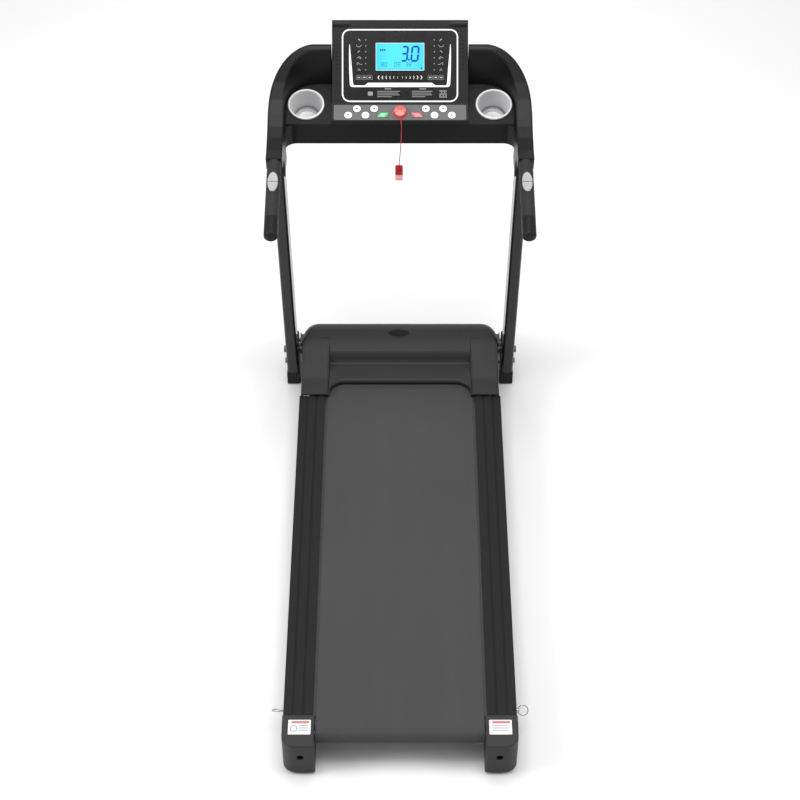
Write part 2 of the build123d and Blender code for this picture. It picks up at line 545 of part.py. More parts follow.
# ---- console frame ------------------------------------------------------------------
SOCKET_LOW = 902.0
TRAY_CORNER, INNER_CORNER = 120.0, 85.0
TRAY_WALL = 3.0
GRIP_START = (ARM_REAR, 1017.0)
fall = radians(GRIP_FALL)
ARM_BASE = GRIP_START[1] - 19
# the arm's rear face is square to the grip
ARM_OUTLINE = ((ARM_REAR + 19 * tan(fall), ARM_BASE),
               (432, 984), (452, 962), (TRAY_REAR + 1, 962), (TRAY_REAR + 1, ARM_TOP + 60),
               (ARM_REAR - (ARM_TOP + 60 - GRIP_START[1]) * tan(fall), ARM_TOP + 60))


def grip_plane(side):
    """Origin where the grip meets its arm, local Y forward along the grip, local Z out of its top."""
    return Plane(origin=(side * GRIP_X, *GRIP_START), x_dir=(1, 0, 0), z_dir=(0, -sin(fall), cos(fall)))


def grip_bar(side, start, length, radius, mode=Mode.ADD):
    """A round bar along the grip, from a distance behind the arm to further back."""
    with Locations(grip_plane(side).location * Location((0, -start - length / 2, 0), (90, 0, 0))):
        Cylinder(radius, length, mode=mode)


def post_outline(grow, low, high):
    """The upright's side view between two heights, grown by a gap."""
    return ((post_rear(low) - grow, low), (post_rear(low) + POST_DEPTH + grow, low),
            (post_rear(high) + POST_DEPTH + grow, high), (post_rear(high) - grow, high))


def tray_plan(half_width, front, corner):
    """The tray or the hoop seen from above: square at the rear, well rounded at the front."""
    with BuildSketch(mode=Mode.PRIVATE) as plan:
        with Locations((0, (TRAY_REAR + front) / 2)):
            Rectangle(2 * half_width, front - TRAY_REAR)
        fillet(plan.vertices().group_by(Axis.Y)[-1], corner)
    return plan.sketch


def at_height(flat, z):
    """A flat sketch lifted to a height."""
    return flat.moved(Location((0, 0, z)))


def tray_top(y):
    """The tray's top leans towards the user: its height at a distance forward."""
    return ARM_TOP + (y - TRAY_REAR) * tan(radians(TRAY_TILT))


# one hoop makes both arms and the raised wall behind the tray
HOOP_SIDE = ((ARM_REAR - 20, 900), (ARM_REAR - 20, ARM_TOP), (405, ARM_TOP + 1), (445, ARM_TOP + 8), (480, ARM_TOP + 19),
             (513, ARM_TOP + 34), (545, ARM_TOP + 54), (580, ARM_TOP + 84), (615, ARM_TOP + 120), (640, ARM_TOP + 145),
             (TRAY_FRONT + 1, WALL_TOP), (TRAY_FRONT + 1, 900))
with BuildPart() as console_hoop:
    extrude(at_height(tray_plan(ARM_OUT, TRAY_FRONT, TRAY_CORNER), TRAY_LOW), amount=WALL_TOP - TRAY_LOW)
    for side in SIDES:
        side_profile(ARM_OUTLINE, span(side, ARM_IN, ARM_OUT))
    side_profile(HOOP_SIDE, (-ARM_OUT - 1, ARM_OUT + 1), Mode.INTERSECT)
    # the wall falls away to the arms in one round sweep
    with BuildSketch(Plane.XZ.offset(-TRAY_FRONT - 1)) as rise_outline:
        with Locations((0, WALL_TOP - 200)):
            Rectangle(2 * ARM_OUT, 400)
        fillet(rise_outline.vertices().group_by(Axis.Z)[-1], WALL_ROUND)
    extrude(amount=TRAY_FRONT - ARM_REAR + 40, mode=Mode.INTERSECT)
    extrude(at_height(tray_plan(ARM_IN, TRAY_FRONT - WALL_THICK, INNER_CORNER), TRAY_LOW - 1),
            amount=WALL_TOP - TRAY_LOW + 2, mode=Mode.SUBTRACT)
    # the wall is interrupted by the console housing
    block((-CONSOLE_HALF - 0.5, CONSOLE_HALF + 0.5), (TRAY_REAR, TRAY_FRONT + 1),
          (tray_top(TRAY_FRONT - WALL_THICK), WALL_TOP + 1), Mode.SUBTRACT)
    # web in the corner between each arm and the crossbar, with a round inner edge
    for side in SIDES:
        block(span(side, ARM_IN - ARM_WEB, ARM_IN), (TRAY_REAR - ARM_WEB, TRAY_REAR), (TRAY_LOW, ARM_TOP - 2))
        with Locations((side * (ARM_IN - ARM_WEB), TRAY_REAR - ARM_WEB, (TRAY_LOW + ARM_TOP) / 2)):
            Cylinder(ARM_WEB, ARM_TOP - TRAY_LOW + 2, mode=Mode.SUBTRACT)
    for side in SIDES:
        # socket that the upright plugs into, and the grip tube's bore
        side_profile(post_outline(4, SOCKET_LOW, TRAY_LOW + 1), span(side, ARM_IN, ARM_OUT))
        side_profile(post_outline(0.2, SOCKET_LOW - 1, POST_TOP + 0.2),
                     span(side, POST_IN - 0.2, POST_OUT + 0.2), Mode.SUBTRACT)
        grip_bar(side, -30, 31, GRIP_TUBE_R + 0.05, Mode.SUBTRACT)
write_node(console_hoop, "console_hoop")

with BuildPart() as grip_tubes:
    for side in SIDES:
        grip_bar(side, -28, 28 + GRIP_LENGTH - 12, GRIP_TUBE_R)
        grip_bar(side, -29, 30 + GRIP_LENGTH - 12, GRIP_TUBE_R - 2, Mode.SUBTRACT)
write_node(grip_tubes, "grip_tubes")

BUTTON_AT = -77.0
BUTTON_LENGTH, BUTTON_WIDTH, BUTTON_LOW, BUTTON_TOP = 62.0, 26.0, 14.0, 20.5
BUTTON_TRAVEL = 0.8

for side in SIDES:
    with BuildPart() as grip:
        grip_bar(side, 0, GRIP_LENGTH - GRIP_CAP_LENGTH, GRIP_R)
        grip_bar(side, -1, GRIP_LENGTH, GRIP_TUBE_R + 0.05, Mode.SUBTRACT)
        with BuildSketch(grip_plane(side).offset(BUTTON_LOW - 1)):
            with Locations(Location((0, BUTTON_AT), 90)):
                Ellipse(BUTTON_LENGTH / 2 + 0.4, BUTTON_WIDTH / 2 + 0.4)
        extrude(amount=8, mode=Mode.SUBTRACT)
    write_node(grip, f"grip_{SIDE_NAMES[side]}")

with BuildPart() as grip_end_caps:
    for side in SIDES:
        grip_bar(side, GRIP_LENGTH - GRIP_CAP_LENGTH, GRIP_CAP_LENGTH, GRIP_R)
    fillet(grip_end_caps.edges().filter_by(GeomType.CIRCLE).group_by(Axis.Y)[0], 9)
    for side in SIDES:
        grip_bar(side, GRIP_LENGTH - GRIP_CAP_LENGTH - 1, GRIP_CAP_LENGTH - 11 + 0.5, GRIP_TUBE_R + 0.05, Mode.SUBTRACT)
write_node(grip_end_caps, "grip_end_caps")

# each grip carries an oval split into two rocker-like halves that press in
for side in SIDES:
    for half, near, far in (("front", 1.0, BUTTON_LENGTH), ("rear", -BUTTON_LENGTH, -1.0)):
        with BuildPart() as hand_button:
            with BuildSketch(grip_plane(side).offset(BUTTON_LOW)):
                with Locations(Location((0, BUTTON_AT), 90)):
                    Ellipse(BUTTON_LENGTH / 2, BUTTON_WIDTH / 2)
                with Locations((0, BUTTON_AT + (near + far) / 2)):
                    Rectangle(BUTTON_WIDTH + 2, far - near, mode=Mode.INTERSECT)
            extrude(amount=BUTTON_TOP - BUTTON_LOW)
        write_node(hand_button, f"hand_button_{SIDE_NAMES[side]}_{half}")


TRAY_HALF, TRAY_FAR = ARM_IN - 0.2, TRAY_FRONT - WALL_THICK - 0.2
CUP_HOLE_R = 43.4
tray_plane = Plane(origin=(0, TRAY_REAR, ARM_TOP), x_dir=(1, 0, 0),
                   z_dir=(0, -sin(radians(TRAY_TILT)), cos(radians(TRAY_TILT))))


def tray_wedge(inset):
    """The tray's solid under its leaning top, pulled in by a wall on all sides but the open bottom."""
    with BuildPart() as wedge:
        flat = tray_plan(TRAY_HALF, TRAY_FAR, INNER_CORNER)
        extrude(at_height(offset(flat, amount=-inset) if inset else flat, TRAY_LOW), amount=200)
        side_profile(((TRAY_REAR, TRAY_LOW), (TRAY_REAR, ARM_TOP - inset), (TRAY_FAR, tray_top(TRAY_FAR) - inset),
                      (TRAY_FAR, TRAY_LOW)), (-TRAY_HALF, TRAY_HALF), Mode.INTERSECT)
    return wedge.part


tray_solid, tray_cavity = tray_wedge(0), tray_wedge(TRAY_WALL)
with BuildPart() as console_tray:
    add(tray_solid)
    add(tray_cavity, mode=Mode.SUBTRACT)
    for side in SIDES:
        with Locations(tray_plane.location * Location((side * CUP_X, CUP_FORWARD, 0))):
            Cylinder(CUP_HOLE_R, 20, mode=Mode.SUBTRACT)
write_node(console_tray, "console_tray")

with BuildPart() as tray_cover:
    lid = offset(tray_plan(TRAY_HALF, TRAY_FAR, INNER_CORNER), amount=-TRAY_WALL - 0.2)
    extrude(at_height(lid, TRAY_LOW), amount=2.5)
write_node(tray_cover, "tray_cover")

CUP_DEPTH, CUP_WALL, CUP_RIM_R, CUP_RIM_HEIGHT = 66.0, 2.2, 47.5, 5.6
CUP_TOP_R, CUP_BOTTOM_R = 42.8, 30.0
with BuildPart() as cup_holders:
    for side in SIDES:
        rim = tray_plane.location * Location((side * CUP_X, CUP_FORWARD, 0))
        with Locations(rim * Location((0, 0, -CUP_DEPTH / 2))):
            Cone(CUP_BOTTOM_R, CUP_TOP_R, CUP_DEPTH)
        with Locations(rim):
            Cylinder(CUP_TOP_R, 1)
        with Locations(rim * Location((0, 0, CUP_RIM_HEIGHT / 2 + 0.1))):
            Cylinder(CUP_RIM_R, CUP_RIM_HEIGHT)
        with Locations(rim * Location((0, 0, CUP_WALL - CUP_DEPTH / 2))):
            Cone(CUP_BOTTOM_R - CUP_WALL, CUP_TOP_R - CUP_WALL, CUP_DEPTH, mode=Mode.SUBTRACT)
        with Locations(rim * Location((0, 0, 4))):
            Cylinder(CUP_TOP_R - CUP_WALL, 9, mode=Mode.SUBTRACT)
write_node(cup_holders, "cup_holders")

# ---- console housing ----------------------------------------------------------------
strip_slope, panel_slope = radians(STRIP_TILT), radians(PANEL_TILT)
strip_plane = Plane(origin=(0, *STRIP_START), x_dir=(1, 0, 0), z_dir=(0, -sin(strip_slope), cos(strip_slope)))
PANEL_START = (STRIP_START[0] + STRIP_LENGTH * cos(strip_slope), STRIP_START[1] + STRIP_LENGTH * sin(strip_slope))
panel_plane = Plane(origin=(0, *PANEL_START), x_dir=(1, 0, 0), z_dir=(0, -sin(panel_slope), cos(panel_slope)))
panel_end = (PANEL_START[0] + PANEL_LENGTH * cos(panel_slope), PANEL_START[1] + PANEL_LENGTH * sin(panel_slope))
SEAT = ARM_TOP + 1.2
SHELL_DEPTH, SHELL_WALL = 14.0, 4.5


def behind_panel(point, depth):
    """A (Y, Z) point moved straight back from the panel's face."""
    return (point[0] + depth * sin(panel_slope), point[1] - depth * cos(panel_slope))


inner_corner = (PANEL_START[0] + 7.7, PANEL_START[1] - 12.1)
FRONT_OUTLINE = ((STRIP_START[0], SEAT), STRIP_START, PANEL_START, panel_end, behind_panel(panel_end, SHELL_DEPTH), inner_corner)
crown = behind_panel(panel_end, 34)
BACK_OUTLINE = (inner_corner, behind_panel(panel_end, SHELL_DEPTH), crown, (728, 1165), (700, 1110),
                (TRAY_FRONT - 3, tray_top(TRAY_FRONT - 3) + 1.2))
KEYPAD_THICK, OVERLAY_THICK, SCREEN_THICK = 2.5, 1.6, 4.0
OVERLAY_LOW, OVERLAY_HIGH, OVERLAY_HALF = 4.0, 198.0, 151.0
SCREEN_Y, SCREEN_WIDTH, SCREEN_HEIGHT = 121.5, 124.0, 70.0
KEYPAD_Y, KEYPAD_WIDTH, KEYPAD_HEIGHT = 25.0, 342.0, 46.0


def inset_outline(points, inset):
    """A closed side outline pulled in evenly, as a private sketch on the middle plane."""
    with BuildSketch(Plane.YZ, mode=Mode.PRIVATE) as outline:
        with BuildLine():
            Polyline(*points, close=True)
        make_face()
        if inset:
            offset(amount=-inset, kind=Kind.INTERSECTION, mode=Mode.REPLACE)
    return outline.sketch


with BuildPart() as console_front:
    extrude(inset_outline(FRONT_OUTLINE, 0), amount=CONSOLE_HALF, both=True)
    fillet(console_front.edges().filter_by(lambda e: abs(e.center().X) > CONSOLE_HALF - 1 and e.center().Z > 1062
                                           and e.center().Y < 711).sort_by(Axis.Z)[-1:], 5)
    hollow = inset_outline(FRONT_OUTLINE, SHELL_WALL)
    for step in (0, 3, 6):
        extrude(hollow.moved(Location((0, step * sin(panel_slope), -step * cos(panel_slope)))),
                amount=CONSOLE_HALF - SHELL_WALL, both=True, mode=Mode.SUBTRACT)
    # seat and window for the face overlay and the screen
    with BuildSketch(panel_plane):
        with Locations((0, (OVERLAY_LOW + OVERLAY_HIGH) / 2)):
            RectangleRounded(2 * OVERLAY_HALF, OVERLAY_HIGH - OVERLAY_LOW, 20)
    extrude(amount=-OVERLAY_THICK, mode=Mode.SUBTRACT)
    with BuildSketch(panel_plane):
        with Locations((0, SCREEN_Y)):
            Rectangle(SCREEN_WIDTH + 0.4, SCREEN_HEIGHT + 0.4)
    extrude(amount=-SHELL_WALL - 1, mode=Mode.SUBTRACT)
    # seat and window for the keypad
    with BuildSketch(strip_plane):
        with Locations((0, KEYPAD_Y)):
            RectangleRounded(KEYPAD_WIDTH, KEYPAD_HEIGHT, 5)
    extrude(amount=-KEYPAD_THICK, mode=Mode.SUBTRACT)
    with BuildSketch(strip_plane):
        with Locations((0, KEYPAD_Y)):
            Rectangle(KEYPAD_WIDTH - 24, KEYPAD_HEIGHT - 3)
    extrude(amount=-SHELL_WALL - 3, mode=Mode.SUBTRACT)
write_node(console_front, "console_front")

with BuildPart() as console_back:
    extrude(inset_outline(BACK_OUTLINE, 0), amount=CONSOLE_HALF, both=True)
    back_corners = console_back.edges().filter_by(lambda e: abs(e.center().X) > CONSOLE_HALF - 1 and e.center().Y > 705
                                                  and e.center().Z > 1060)
    fillet(back_corners, 6)
    hollow = inset_outline(BACK_OUTLINE, 3)
    for step in (0, 3, 6):
        extrude(hollow.moved(Location((0, -step * sin(panel_slope), step * cos(panel_slope)))),
                amount=CONSOLE_HALF - 3, both=True, mode=Mode.SUBTRACT)
write_node(console_back, "console_back")

with BuildPart() as face_panel:
    with BuildSketch(panel_plane.offset(-OVERLAY_THICK)):
        with Locations((0, (OVERLAY_LOW + OVERLAY_HIGH) / 2)):
            RectangleRounded(2 * OVERLAY_HALF - 0.4, OVERLAY_HIGH - OVERLAY_LOW - 0.4, 20)
        with Locations((0, SCREEN_Y)):
            Rectangle(SCREEN_WIDTH + 0.4, SCREEN_HEIGHT + 0.4, mode=Mode.SUBTRACT)
    extrude(amount=OVERLAY_THICK)
write_node(face_panel, "face_panel")

with BuildPart() as display_screen:
    with BuildSketch(panel_plane.offset(-SCREEN_THICK - 0.4)):
        with Locations((0, SCREEN_Y)):
            Rectangle(SCREEN_WIDTH, SCREEN_HEIGHT)
    extrude(amount=SCREEN_THICK)
write_node(display_screen, "display_screen")

# ---- keys ---------------------------------------------------------------------------
KEY_R, KEY_DEPTH, KEY_PROUD = 10.2, 5.0, 1.4
KEY_LOW_ROW, KEY_HIGH_ROW = 16.4, 35.8
KEY_PITCH, KEY_FIRST = 22.3, 66.6
# counted outwards from the middle, the rows alternate
round_keys = {}
for side in SIDES:
    for place in range(4):
        row = KEY_HIGH_ROW if place % 2 == 0 else KEY_LOW_ROW
        round_keys[f"key_{SIDE_NAMES[side]}_{place + 1}"] = (side * (KEY_FIRST + KEY_PITCH * place), row)
BAR_KEY_X, BAR_KEY_WIDTH, BAR_KEY_HEIGHT = 44.2, 31.0, 14.5
SAFETY_Y, SAFETY_R, SAFETY_STEM_R = 24.0, 18.5, 8.0
KEY_GAP = 0.4

with BuildPart() as keypad:
    with BuildSketch(strip_plane.offset(-KEYPAD_THICK)):
        with Locations((0, KEYPAD_Y)):
            RectangleRounded(KEYPAD_WIDTH - 0.4, KEYPAD_HEIGHT - 0.4, 5)
        with Locations(*round_keys.values()):
            Circle(KEY_R + KEY_GAP, mode=Mode.SUBTRACT)
        with Locations((-BAR_KEY_X, KEY_LOW_ROW), (BAR_KEY_X, KEY_LOW_ROW)):
            RectangleRounded(BAR_KEY_WIDTH + 2 * KEY_GAP, BAR_KEY_HEIGHT + 2 * KEY_GAP, 4, mode=Mode.SUBTRACT)
        with Locations((0, SAFETY_Y)):
            Circle(SAFETY_STEM_R + KEY_GAP, mode=Mode.SUBTRACT)
    extrude(amount=KEYPAD_THICK)
write_node(keypad, "keypad")

for name, centre in round_keys.items():
    with BuildPart() as key:
        with BuildSketch(strip_plane.offset(KEY_PROUD - KEY_DEPTH)):
            with Locations(centre):
                Circle(KEY_R)
        extrude(amount=KEY_DEPTH)
        fillet(key.edges().filter_by(GeomType.CIRCLE).sort_by(Axis.Z)[-1], 1.0)
    write_node(key, name)

for side, name in ((-1, "start_key"), (1, "stop_key")):
    with BuildPart() as key:
        with BuildSketch(strip_plane.offset(KEY_PROUD - KEY_DEPTH)):
            with Locations((side * BAR_KEY_X, KEY_LOW_ROW)):
                RectangleRounded(BAR_KEY_WIDTH, BAR_KEY_HEIGHT, 4)
        extrude(amount=KEY_DEPTH)
    write_node(key, name)

# ---- safety key, its cord and its clip ----------------------------------------------
SAFETY_HEIGHT = 10.0
CORD_R = 1.1
with BuildPart() as safety_key:
    with BuildSketch(strip_plane.offset(0.3)):
        with Locations((0, SAFETY_Y)):
            RegularPolygon(SAFETY_R, 8)
    extrude(amount=SAFETY_HEIGHT, taper=14)
    with BuildSketch(strip_plane.offset(0.3)):
        with Locations((0, SAFETY_Y)):
            Circle(SAFETY_STEM_R)
    extrude(amount=-6)
write_node(safety_key, "safety_key")

# from the key's near edge, over the console's edge and down to the clip
CORD_ROUTE = ((1.0, 518.2, 1058.4), (1.8, 508.6, 1061.0), (2.6, 500.2, 1057.6), (3.3, 494.8, 1049.6),
              (3.9, 493.2, 1034.0), (3.2, 493.6, 1004.0), (1.0, 494.4, 962.0), (-2.6, 494.8, 911.5))


def corner_radii(points):
    """The largest even arc at each corner of a route: 0.45 of the shorter run over tan of half the turn."""
    radii = []
    for before, here, after in zip(points, points[1:], points[2:]):
        run_in, run_out = Vector(here) - Vector(before), Vector(after) - Vector(here)
        half_turn = radians(run_in.get_angle(run_out)) / 2
        radii.append(0.45 * min(run_in.length, run_out.length) / tan(half_turn))
    return radii


cord_radii = corner_radii(CORD_ROUTE)
print("cord corner radii:", [round(radius, 1) for radius in cord_radii])
with BuildPart() as safety_cord:
    with BuildLine() as cord_line:
        FilletPolyline(*CORD_ROUTE, radius=cord_radii)
    with BuildSketch(Plane(origin=CORD_ROUTE[0], z_dir=cord_line.wires()[0] % 0)):
        Circle(CORD_R)
    sweep()
print("cord length:", round(cord_line.wires()[0].length, 1))
write_node(safety_cord, "safety_cord")

CLIP_WIDTH, CLIP_DEPTH, CLIP_LENGTH = 20.0, 11.0, 43.0
clip_top = CORD_ROUTE[-1]
with BuildPart() as safety_clip:
    with Locations((clip_top[0], clip_top[1], clip_top[2] - CLIP_LENGTH / 2)):
        Box(CLIP_WIDTH, CLIP_DEPTH, CLIP_LENGTH)
    fillet(safety_clip.edges().filter_by(Axis.Y), 4)
    with Locations((clip_top[0], clip_top[1], clip_top[2] - CLIP_LENGTH + 11)):
        Box(CLIP_WIDTH + 2, 1.4, 24, mode=Mode.SUBTRACT)
write_node(safety_clip, "safety_clip")
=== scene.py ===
"""Looks for the folding treadmill.

Every CAD piece gets a finish, and detailed pieces replace some of the plain ones. The pieces' outlines are
in millimetres in the part's frame, and put() turns them into metres. Finishes and lights are in metres.
"""

from math import atan2, cos, hypot, pi, radians, sin, sqrt

import bmesh
import bpy
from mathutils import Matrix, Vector


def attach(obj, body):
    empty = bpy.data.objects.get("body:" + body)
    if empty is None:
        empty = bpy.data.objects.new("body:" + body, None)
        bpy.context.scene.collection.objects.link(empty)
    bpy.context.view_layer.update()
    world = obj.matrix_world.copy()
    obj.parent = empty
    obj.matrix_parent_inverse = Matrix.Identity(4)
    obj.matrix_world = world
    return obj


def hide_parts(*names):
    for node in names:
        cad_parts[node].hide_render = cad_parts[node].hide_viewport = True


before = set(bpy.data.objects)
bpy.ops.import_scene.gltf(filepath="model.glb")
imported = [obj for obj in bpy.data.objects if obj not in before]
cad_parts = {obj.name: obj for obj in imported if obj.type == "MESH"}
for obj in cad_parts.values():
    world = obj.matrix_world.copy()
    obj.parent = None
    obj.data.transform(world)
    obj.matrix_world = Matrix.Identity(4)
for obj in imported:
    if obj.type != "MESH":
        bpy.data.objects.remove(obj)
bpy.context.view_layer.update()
MM = 0.001

# ---- camera -------------------------------------------------------------------------
camera_data = bpy.data.cameras.new("camera")
camera_data.lens, camera_data.sensor_width = 84.24, 36
camera = bpy.data.objects.new("camera", camera_data)
camera.location = (0, -3.3545, 4.016)
camera.rotation_euler = (radians(44), 0, 0)
bpy.context.scene.collection.objects.link(camera)
bpy.context.scene.camera = camera


# ---- finishes -----------------------------------------------------------------------
class Amount:
    """A number that varies over a surface. Arithmetic on it adds Math nodes."""

    def __init__(self, look, socket):
        self.look, self.socket = look, socket

    def sum(self, operation, *values):
        return self.look.node("ShaderNodeMath", {"operation": operation}, dict(enumerate(values)))

    def __add__(self, other):
        return self.sum("ADD", self, other)

    def __sub__(self, other):
        return self.sum("SUBTRACT", self, other)

    def __mul__(self, other):
        return self.sum("MULTIPLY", self, other)

    def __radd__(self, other):
        return self.sum("ADD", other, self)

    def __rsub__(self, other):
        return self.sum("SUBTRACT", other, self)

    def __rmul__(self, other):
        return self.sum("MULTIPLY", other, self)

    def wave(self):
        return self.sum("SINE", self)

    def size(self):
        return self.sum("ABSOLUTE", self)

    def ramp(self, low, high):
        """0 below low, 1 above high and smooth between."""
        return self.look.node("ShaderNodeMapRange", {"interpolation_type": "SMOOTHSTEP"},
                              {"Value": self, "From Min": low, "From Max": high})


class Look:
    """One finish: a Principled shader whose constants are set on it and whose varying sockets are linked."""

    def __init__(self, name, **constants):
        self.material = bpy.data.materials.new(name)
        self.material.use_nodes = True
        self.tree = self.material.node_tree
        self.shader = self.tree.nodes["Principled BSDF"]
        for socket, value in constants.items():
            self.shader.inputs[socket.replace("_", " ")].default_value = value
        self.place = self.node("ShaderNodeTexCoord", {}, {}, "Object")

    def node(self, kind, settings, sockets, out=0):
        made = self.tree.nodes.new(kind)
        for key, value in settings.items():
            setattr(made, key, value)
        for key, value in sockets.items():
            self.feed(made.inputs[key], value)
        return Amount(self, made.outputs[out])

    def feed(self, socket, value):
        if isinstance(value, Amount):
            self.tree.links.new(value.socket, socket)
        else:
            socket.default_value = value

    def noise(self, scale, detail=2.0, stretch=(1, 1, 1)):
        spread = self.node("ShaderNodeMapping", {}, {"Vector": self.place, "Scale": stretch})
        return self.node("ShaderNodeTexNoise", {}, {"Vector": spread, "Scale": scale, "Detail": detail}, "Fac")

    def axes(self):
        """The place along X, Y and Z."""
        split = self.node("ShaderNodeSeparateXYZ", {}, {"Vector": self.place})
        outputs = split.socket.node.outputs
        return [Amount(self, outputs[axis]) for axis in "XYZ"]

    def mix(self, share, low, high):
        return self.node("ShaderNodeMix", {"data_type": "RGBA"}, {0: share, 6: low, 7: high}, 2)

    def surface(self, color=None, rough=None, height=None, depth=0.0, rounding=0.0, **others):
        """Links what varies: colour, roughness, and a height in metres that the light sees as relief."""
        if color is not None:
            self.feed(self.shader.inputs["Base Color"], color)
        if rough is not None:
            self.feed(self.shader.inputs["Roughness"], rough)
        normal = None
        if rounding:
            normal = self.node("ShaderNodeBevel", {"samples": 4}, {"Radius": rounding}, "Normal")
        if height is not None:
            sockets = {"Height": height, "Distance": depth, "Strength": 1.0}
            if normal is not None:
                sockets["Normal"] = normal
            normal = self.node("ShaderNodeBump", {}, sockets, "Normal")
        if normal is not None:
            self.feed(self.shader.inputs["Normal"], normal)
        for socket, value in others.items():
            self.feed(self.shader.inputs[socket.replace("_", " ")], value)
        return self.material


def shade(grey, tint=(1.0, 1.0, 1.0), gain=1.0):
    """A colour from a grey level and a slight tint."""
    return tuple(min(grey * gain * part, 1.0) for part in tint) + (1.0,)


def moulded(name, grey, rough, tint=(1, 1, 1.04), grain=0.00009, rounding=0.0012, shine=0.18, **constants):
    """Injection-moulded plastic: fine spark-eroded grain, with faint flow marks and handling marks."""
    look = Look(name, Specular_IOR_Level=shine, **constants)
    fine, flow, marks = look.noise(1500, 3), look.noise(7, 3), look.noise(60, 4)
    color = look.mix(0.55 * flow + 0.45 * fine, shade(grey, tint, 0.82), shade(grey, tint, 1.2))
    return look.surface(color, rough + 0.16 * (flow - 0.5) + 0.12 * (marks - 0.5), fine, grain, rounding)


def coated(name, grey, rough, tint=(1, 1, 1.03), peel=0.00004, rounding=0.0008, **constants):
    """Powder-coated steel: a slight orange peel under a clear gloss."""
    look = Look(name, Specular_IOR_Level=0.2, Coat_Weight=0.3, Coat_Roughness=0.12, **constants)
    peel_field, broad = look.noise(420, 2), look.noise(5, 3)
    color = look.mix(broad, shade(grey, tint, 0.85), shade(grey, tint, 1.2))
    return look.surface(color, rough + 0.14 * (broad - 0.5), peel_field, peel, rounding)


def metal(name, grey, rough, tint=(1, 0.99, 0.97), stretch=(1, 1, 1), lines=500, rounding=0.0004):
    """Plated or turned steel, with fine tool lines."""
    look = Look(name, Metallic=1.0)
    drawn, stain = look.noise(lines, 3, stretch), look.noise(25, 4)
    color = look.mix(0.6 * drawn + 0.4 * stain, shade(grey, tint, 0.78), shade(grey, tint, 1.12))
    return look.surface(color, rough + 0.2 * (drawn - 0.5) + 0.14 * (stain - 0.5), drawn, 0.00003, rounding)


def rubber(name, grey, rough, pitch=0.0, tint=(1, 1, 1.02), depth=0.0002, rounding=0.001):
    """Moulded rubber or foam, with a crossed texture when it has a pitch."""
    look = Look(name, Specular_IOR_Level=0.2)
    x, y, _ = look.axes()
    fine, broad = look.noise(2200, 3), look.noise(14, 3)
    height = fine
    if pitch:
        turn = 2 * pi / pitch
        height = 0.55 + 0.4 * ((x + y) * turn).wave() * ((x - y) * turn).wave() + 0.2 * fine
    color = look.mix(0.5 * broad + 0.5 * fine, shade(grey, tint, 0.8), shade(grey, tint, 1.25))
    return look.surface(color, rough + 0.1 * (broad - 0.5), height, depth, rounding)


def tinted_gloss(name, color, rough=0.25, speck=0.1, **constants):
    """Coloured gloss plastic with slight depth variation."""
    look = Look(name, Coat_Weight=0.5, Coat_Roughness=0.08, **constants)
    broad, fine = look.noise(40, 3), look.noise(900, 2)
    dark = tuple(part * (1 - speck) for part in color[:3]) + (1.0,)
    light = tuple(min(part * (1 + speck), 1.0) for part in color[:3]) + (1.0,)
    blend = look.mix(0.6 * broad + 0.4 * fine, dark, light)
    return look.surface(blend, rough + 0.08 * (broad - 0.5), fine, 0.00002, 0.0006)


def belt_finish():
    """Walking belt: dark PVC with a fine diamond emboss and long, faint wear lanes."""
    look = Look("belt_weave", Specular_IOR_Level=0.15)
    x, y, _ = look.axes()
    pitch = 0.0052
    turn = 2 * pi / pitch
    weave = ((x + y) * turn).wave() * ((x - y) * turn).wave()
    lanes = look.noise(14, 3, (1, 0.12, 1))
    fine = look.noise(1800, 3)
    cloud = look.noise(4, 3)
    share = 0.45 * (0.5 + 0.5 * weave) + 0.2 * fine + 0.2 * lanes + 0.15 * cloud
    color = look.mix(share, (0.036, 0.035, 0.035, 1), (0.086, 0.084, 0.085, 1))
    return look.surface(color, 0.62 - 0.12 * lanes + 0.1 * fine, 0.6 * weave + 0.3 * fine, 0.0005)


def screen_finish():
    """Backlit blue display: a brighter middle and a faint dot grid."""
    look = Look("display_backlight", Specular_IOR_Level=0.15, Coat_Weight=0.08, Coat_Roughness=0.1,
                Emission_Strength=0.75)
    x, _, z = look.axes()
    glow = x.size().ramp(0.02, 0.07)
    dot_pitch = 0.0011
    turn = 2 * pi / dot_pitch
    grid = 0.5 + 0.5 * (x * turn).wave() * (z * turn).wave()
    light = look.mix(glow + 0.12 * grid, (0.050, 0.40, 0.53, 1), (0.036, 0.34, 0.49, 1))
    return look.surface(light, 0.2 + 0.05 * grid, Emission_Color=light)


def board_finish():
    """Pressed board under a dark laminate: a faint long grain and pressed chips."""
    look = Look("laminate_board")
    chips, grain = look.noise(350, 4), look.noise(30, 4, (1, 0.05, 1))
    color = look.mix(0.5 * chips + 0.5 * grain, (0.020, 0.019, 0.018, 1), (0.045, 0.043, 0.040, 1))
    return look.surface(color, 0.45 + 0.2 * chips, chips, 0.0002)


def woven_finish():
    """Braided red cord: slanting plaits."""
    look = Look("braided_cord")
    x, y, z = look.axes()
    turn, slant = 5200, 0.8
    plait = ((z + slant * x) * turn).wave() * ((z - slant * y) * turn).wave()
    color = look.mix(0.5 + 0.5 * plait, (0.33, 0.012, 0.02, 1), (0.62, 0.05, 0.06, 1))
    return look.surface(color, 0.6 + 0.1 * plait, plait, 0.0002)


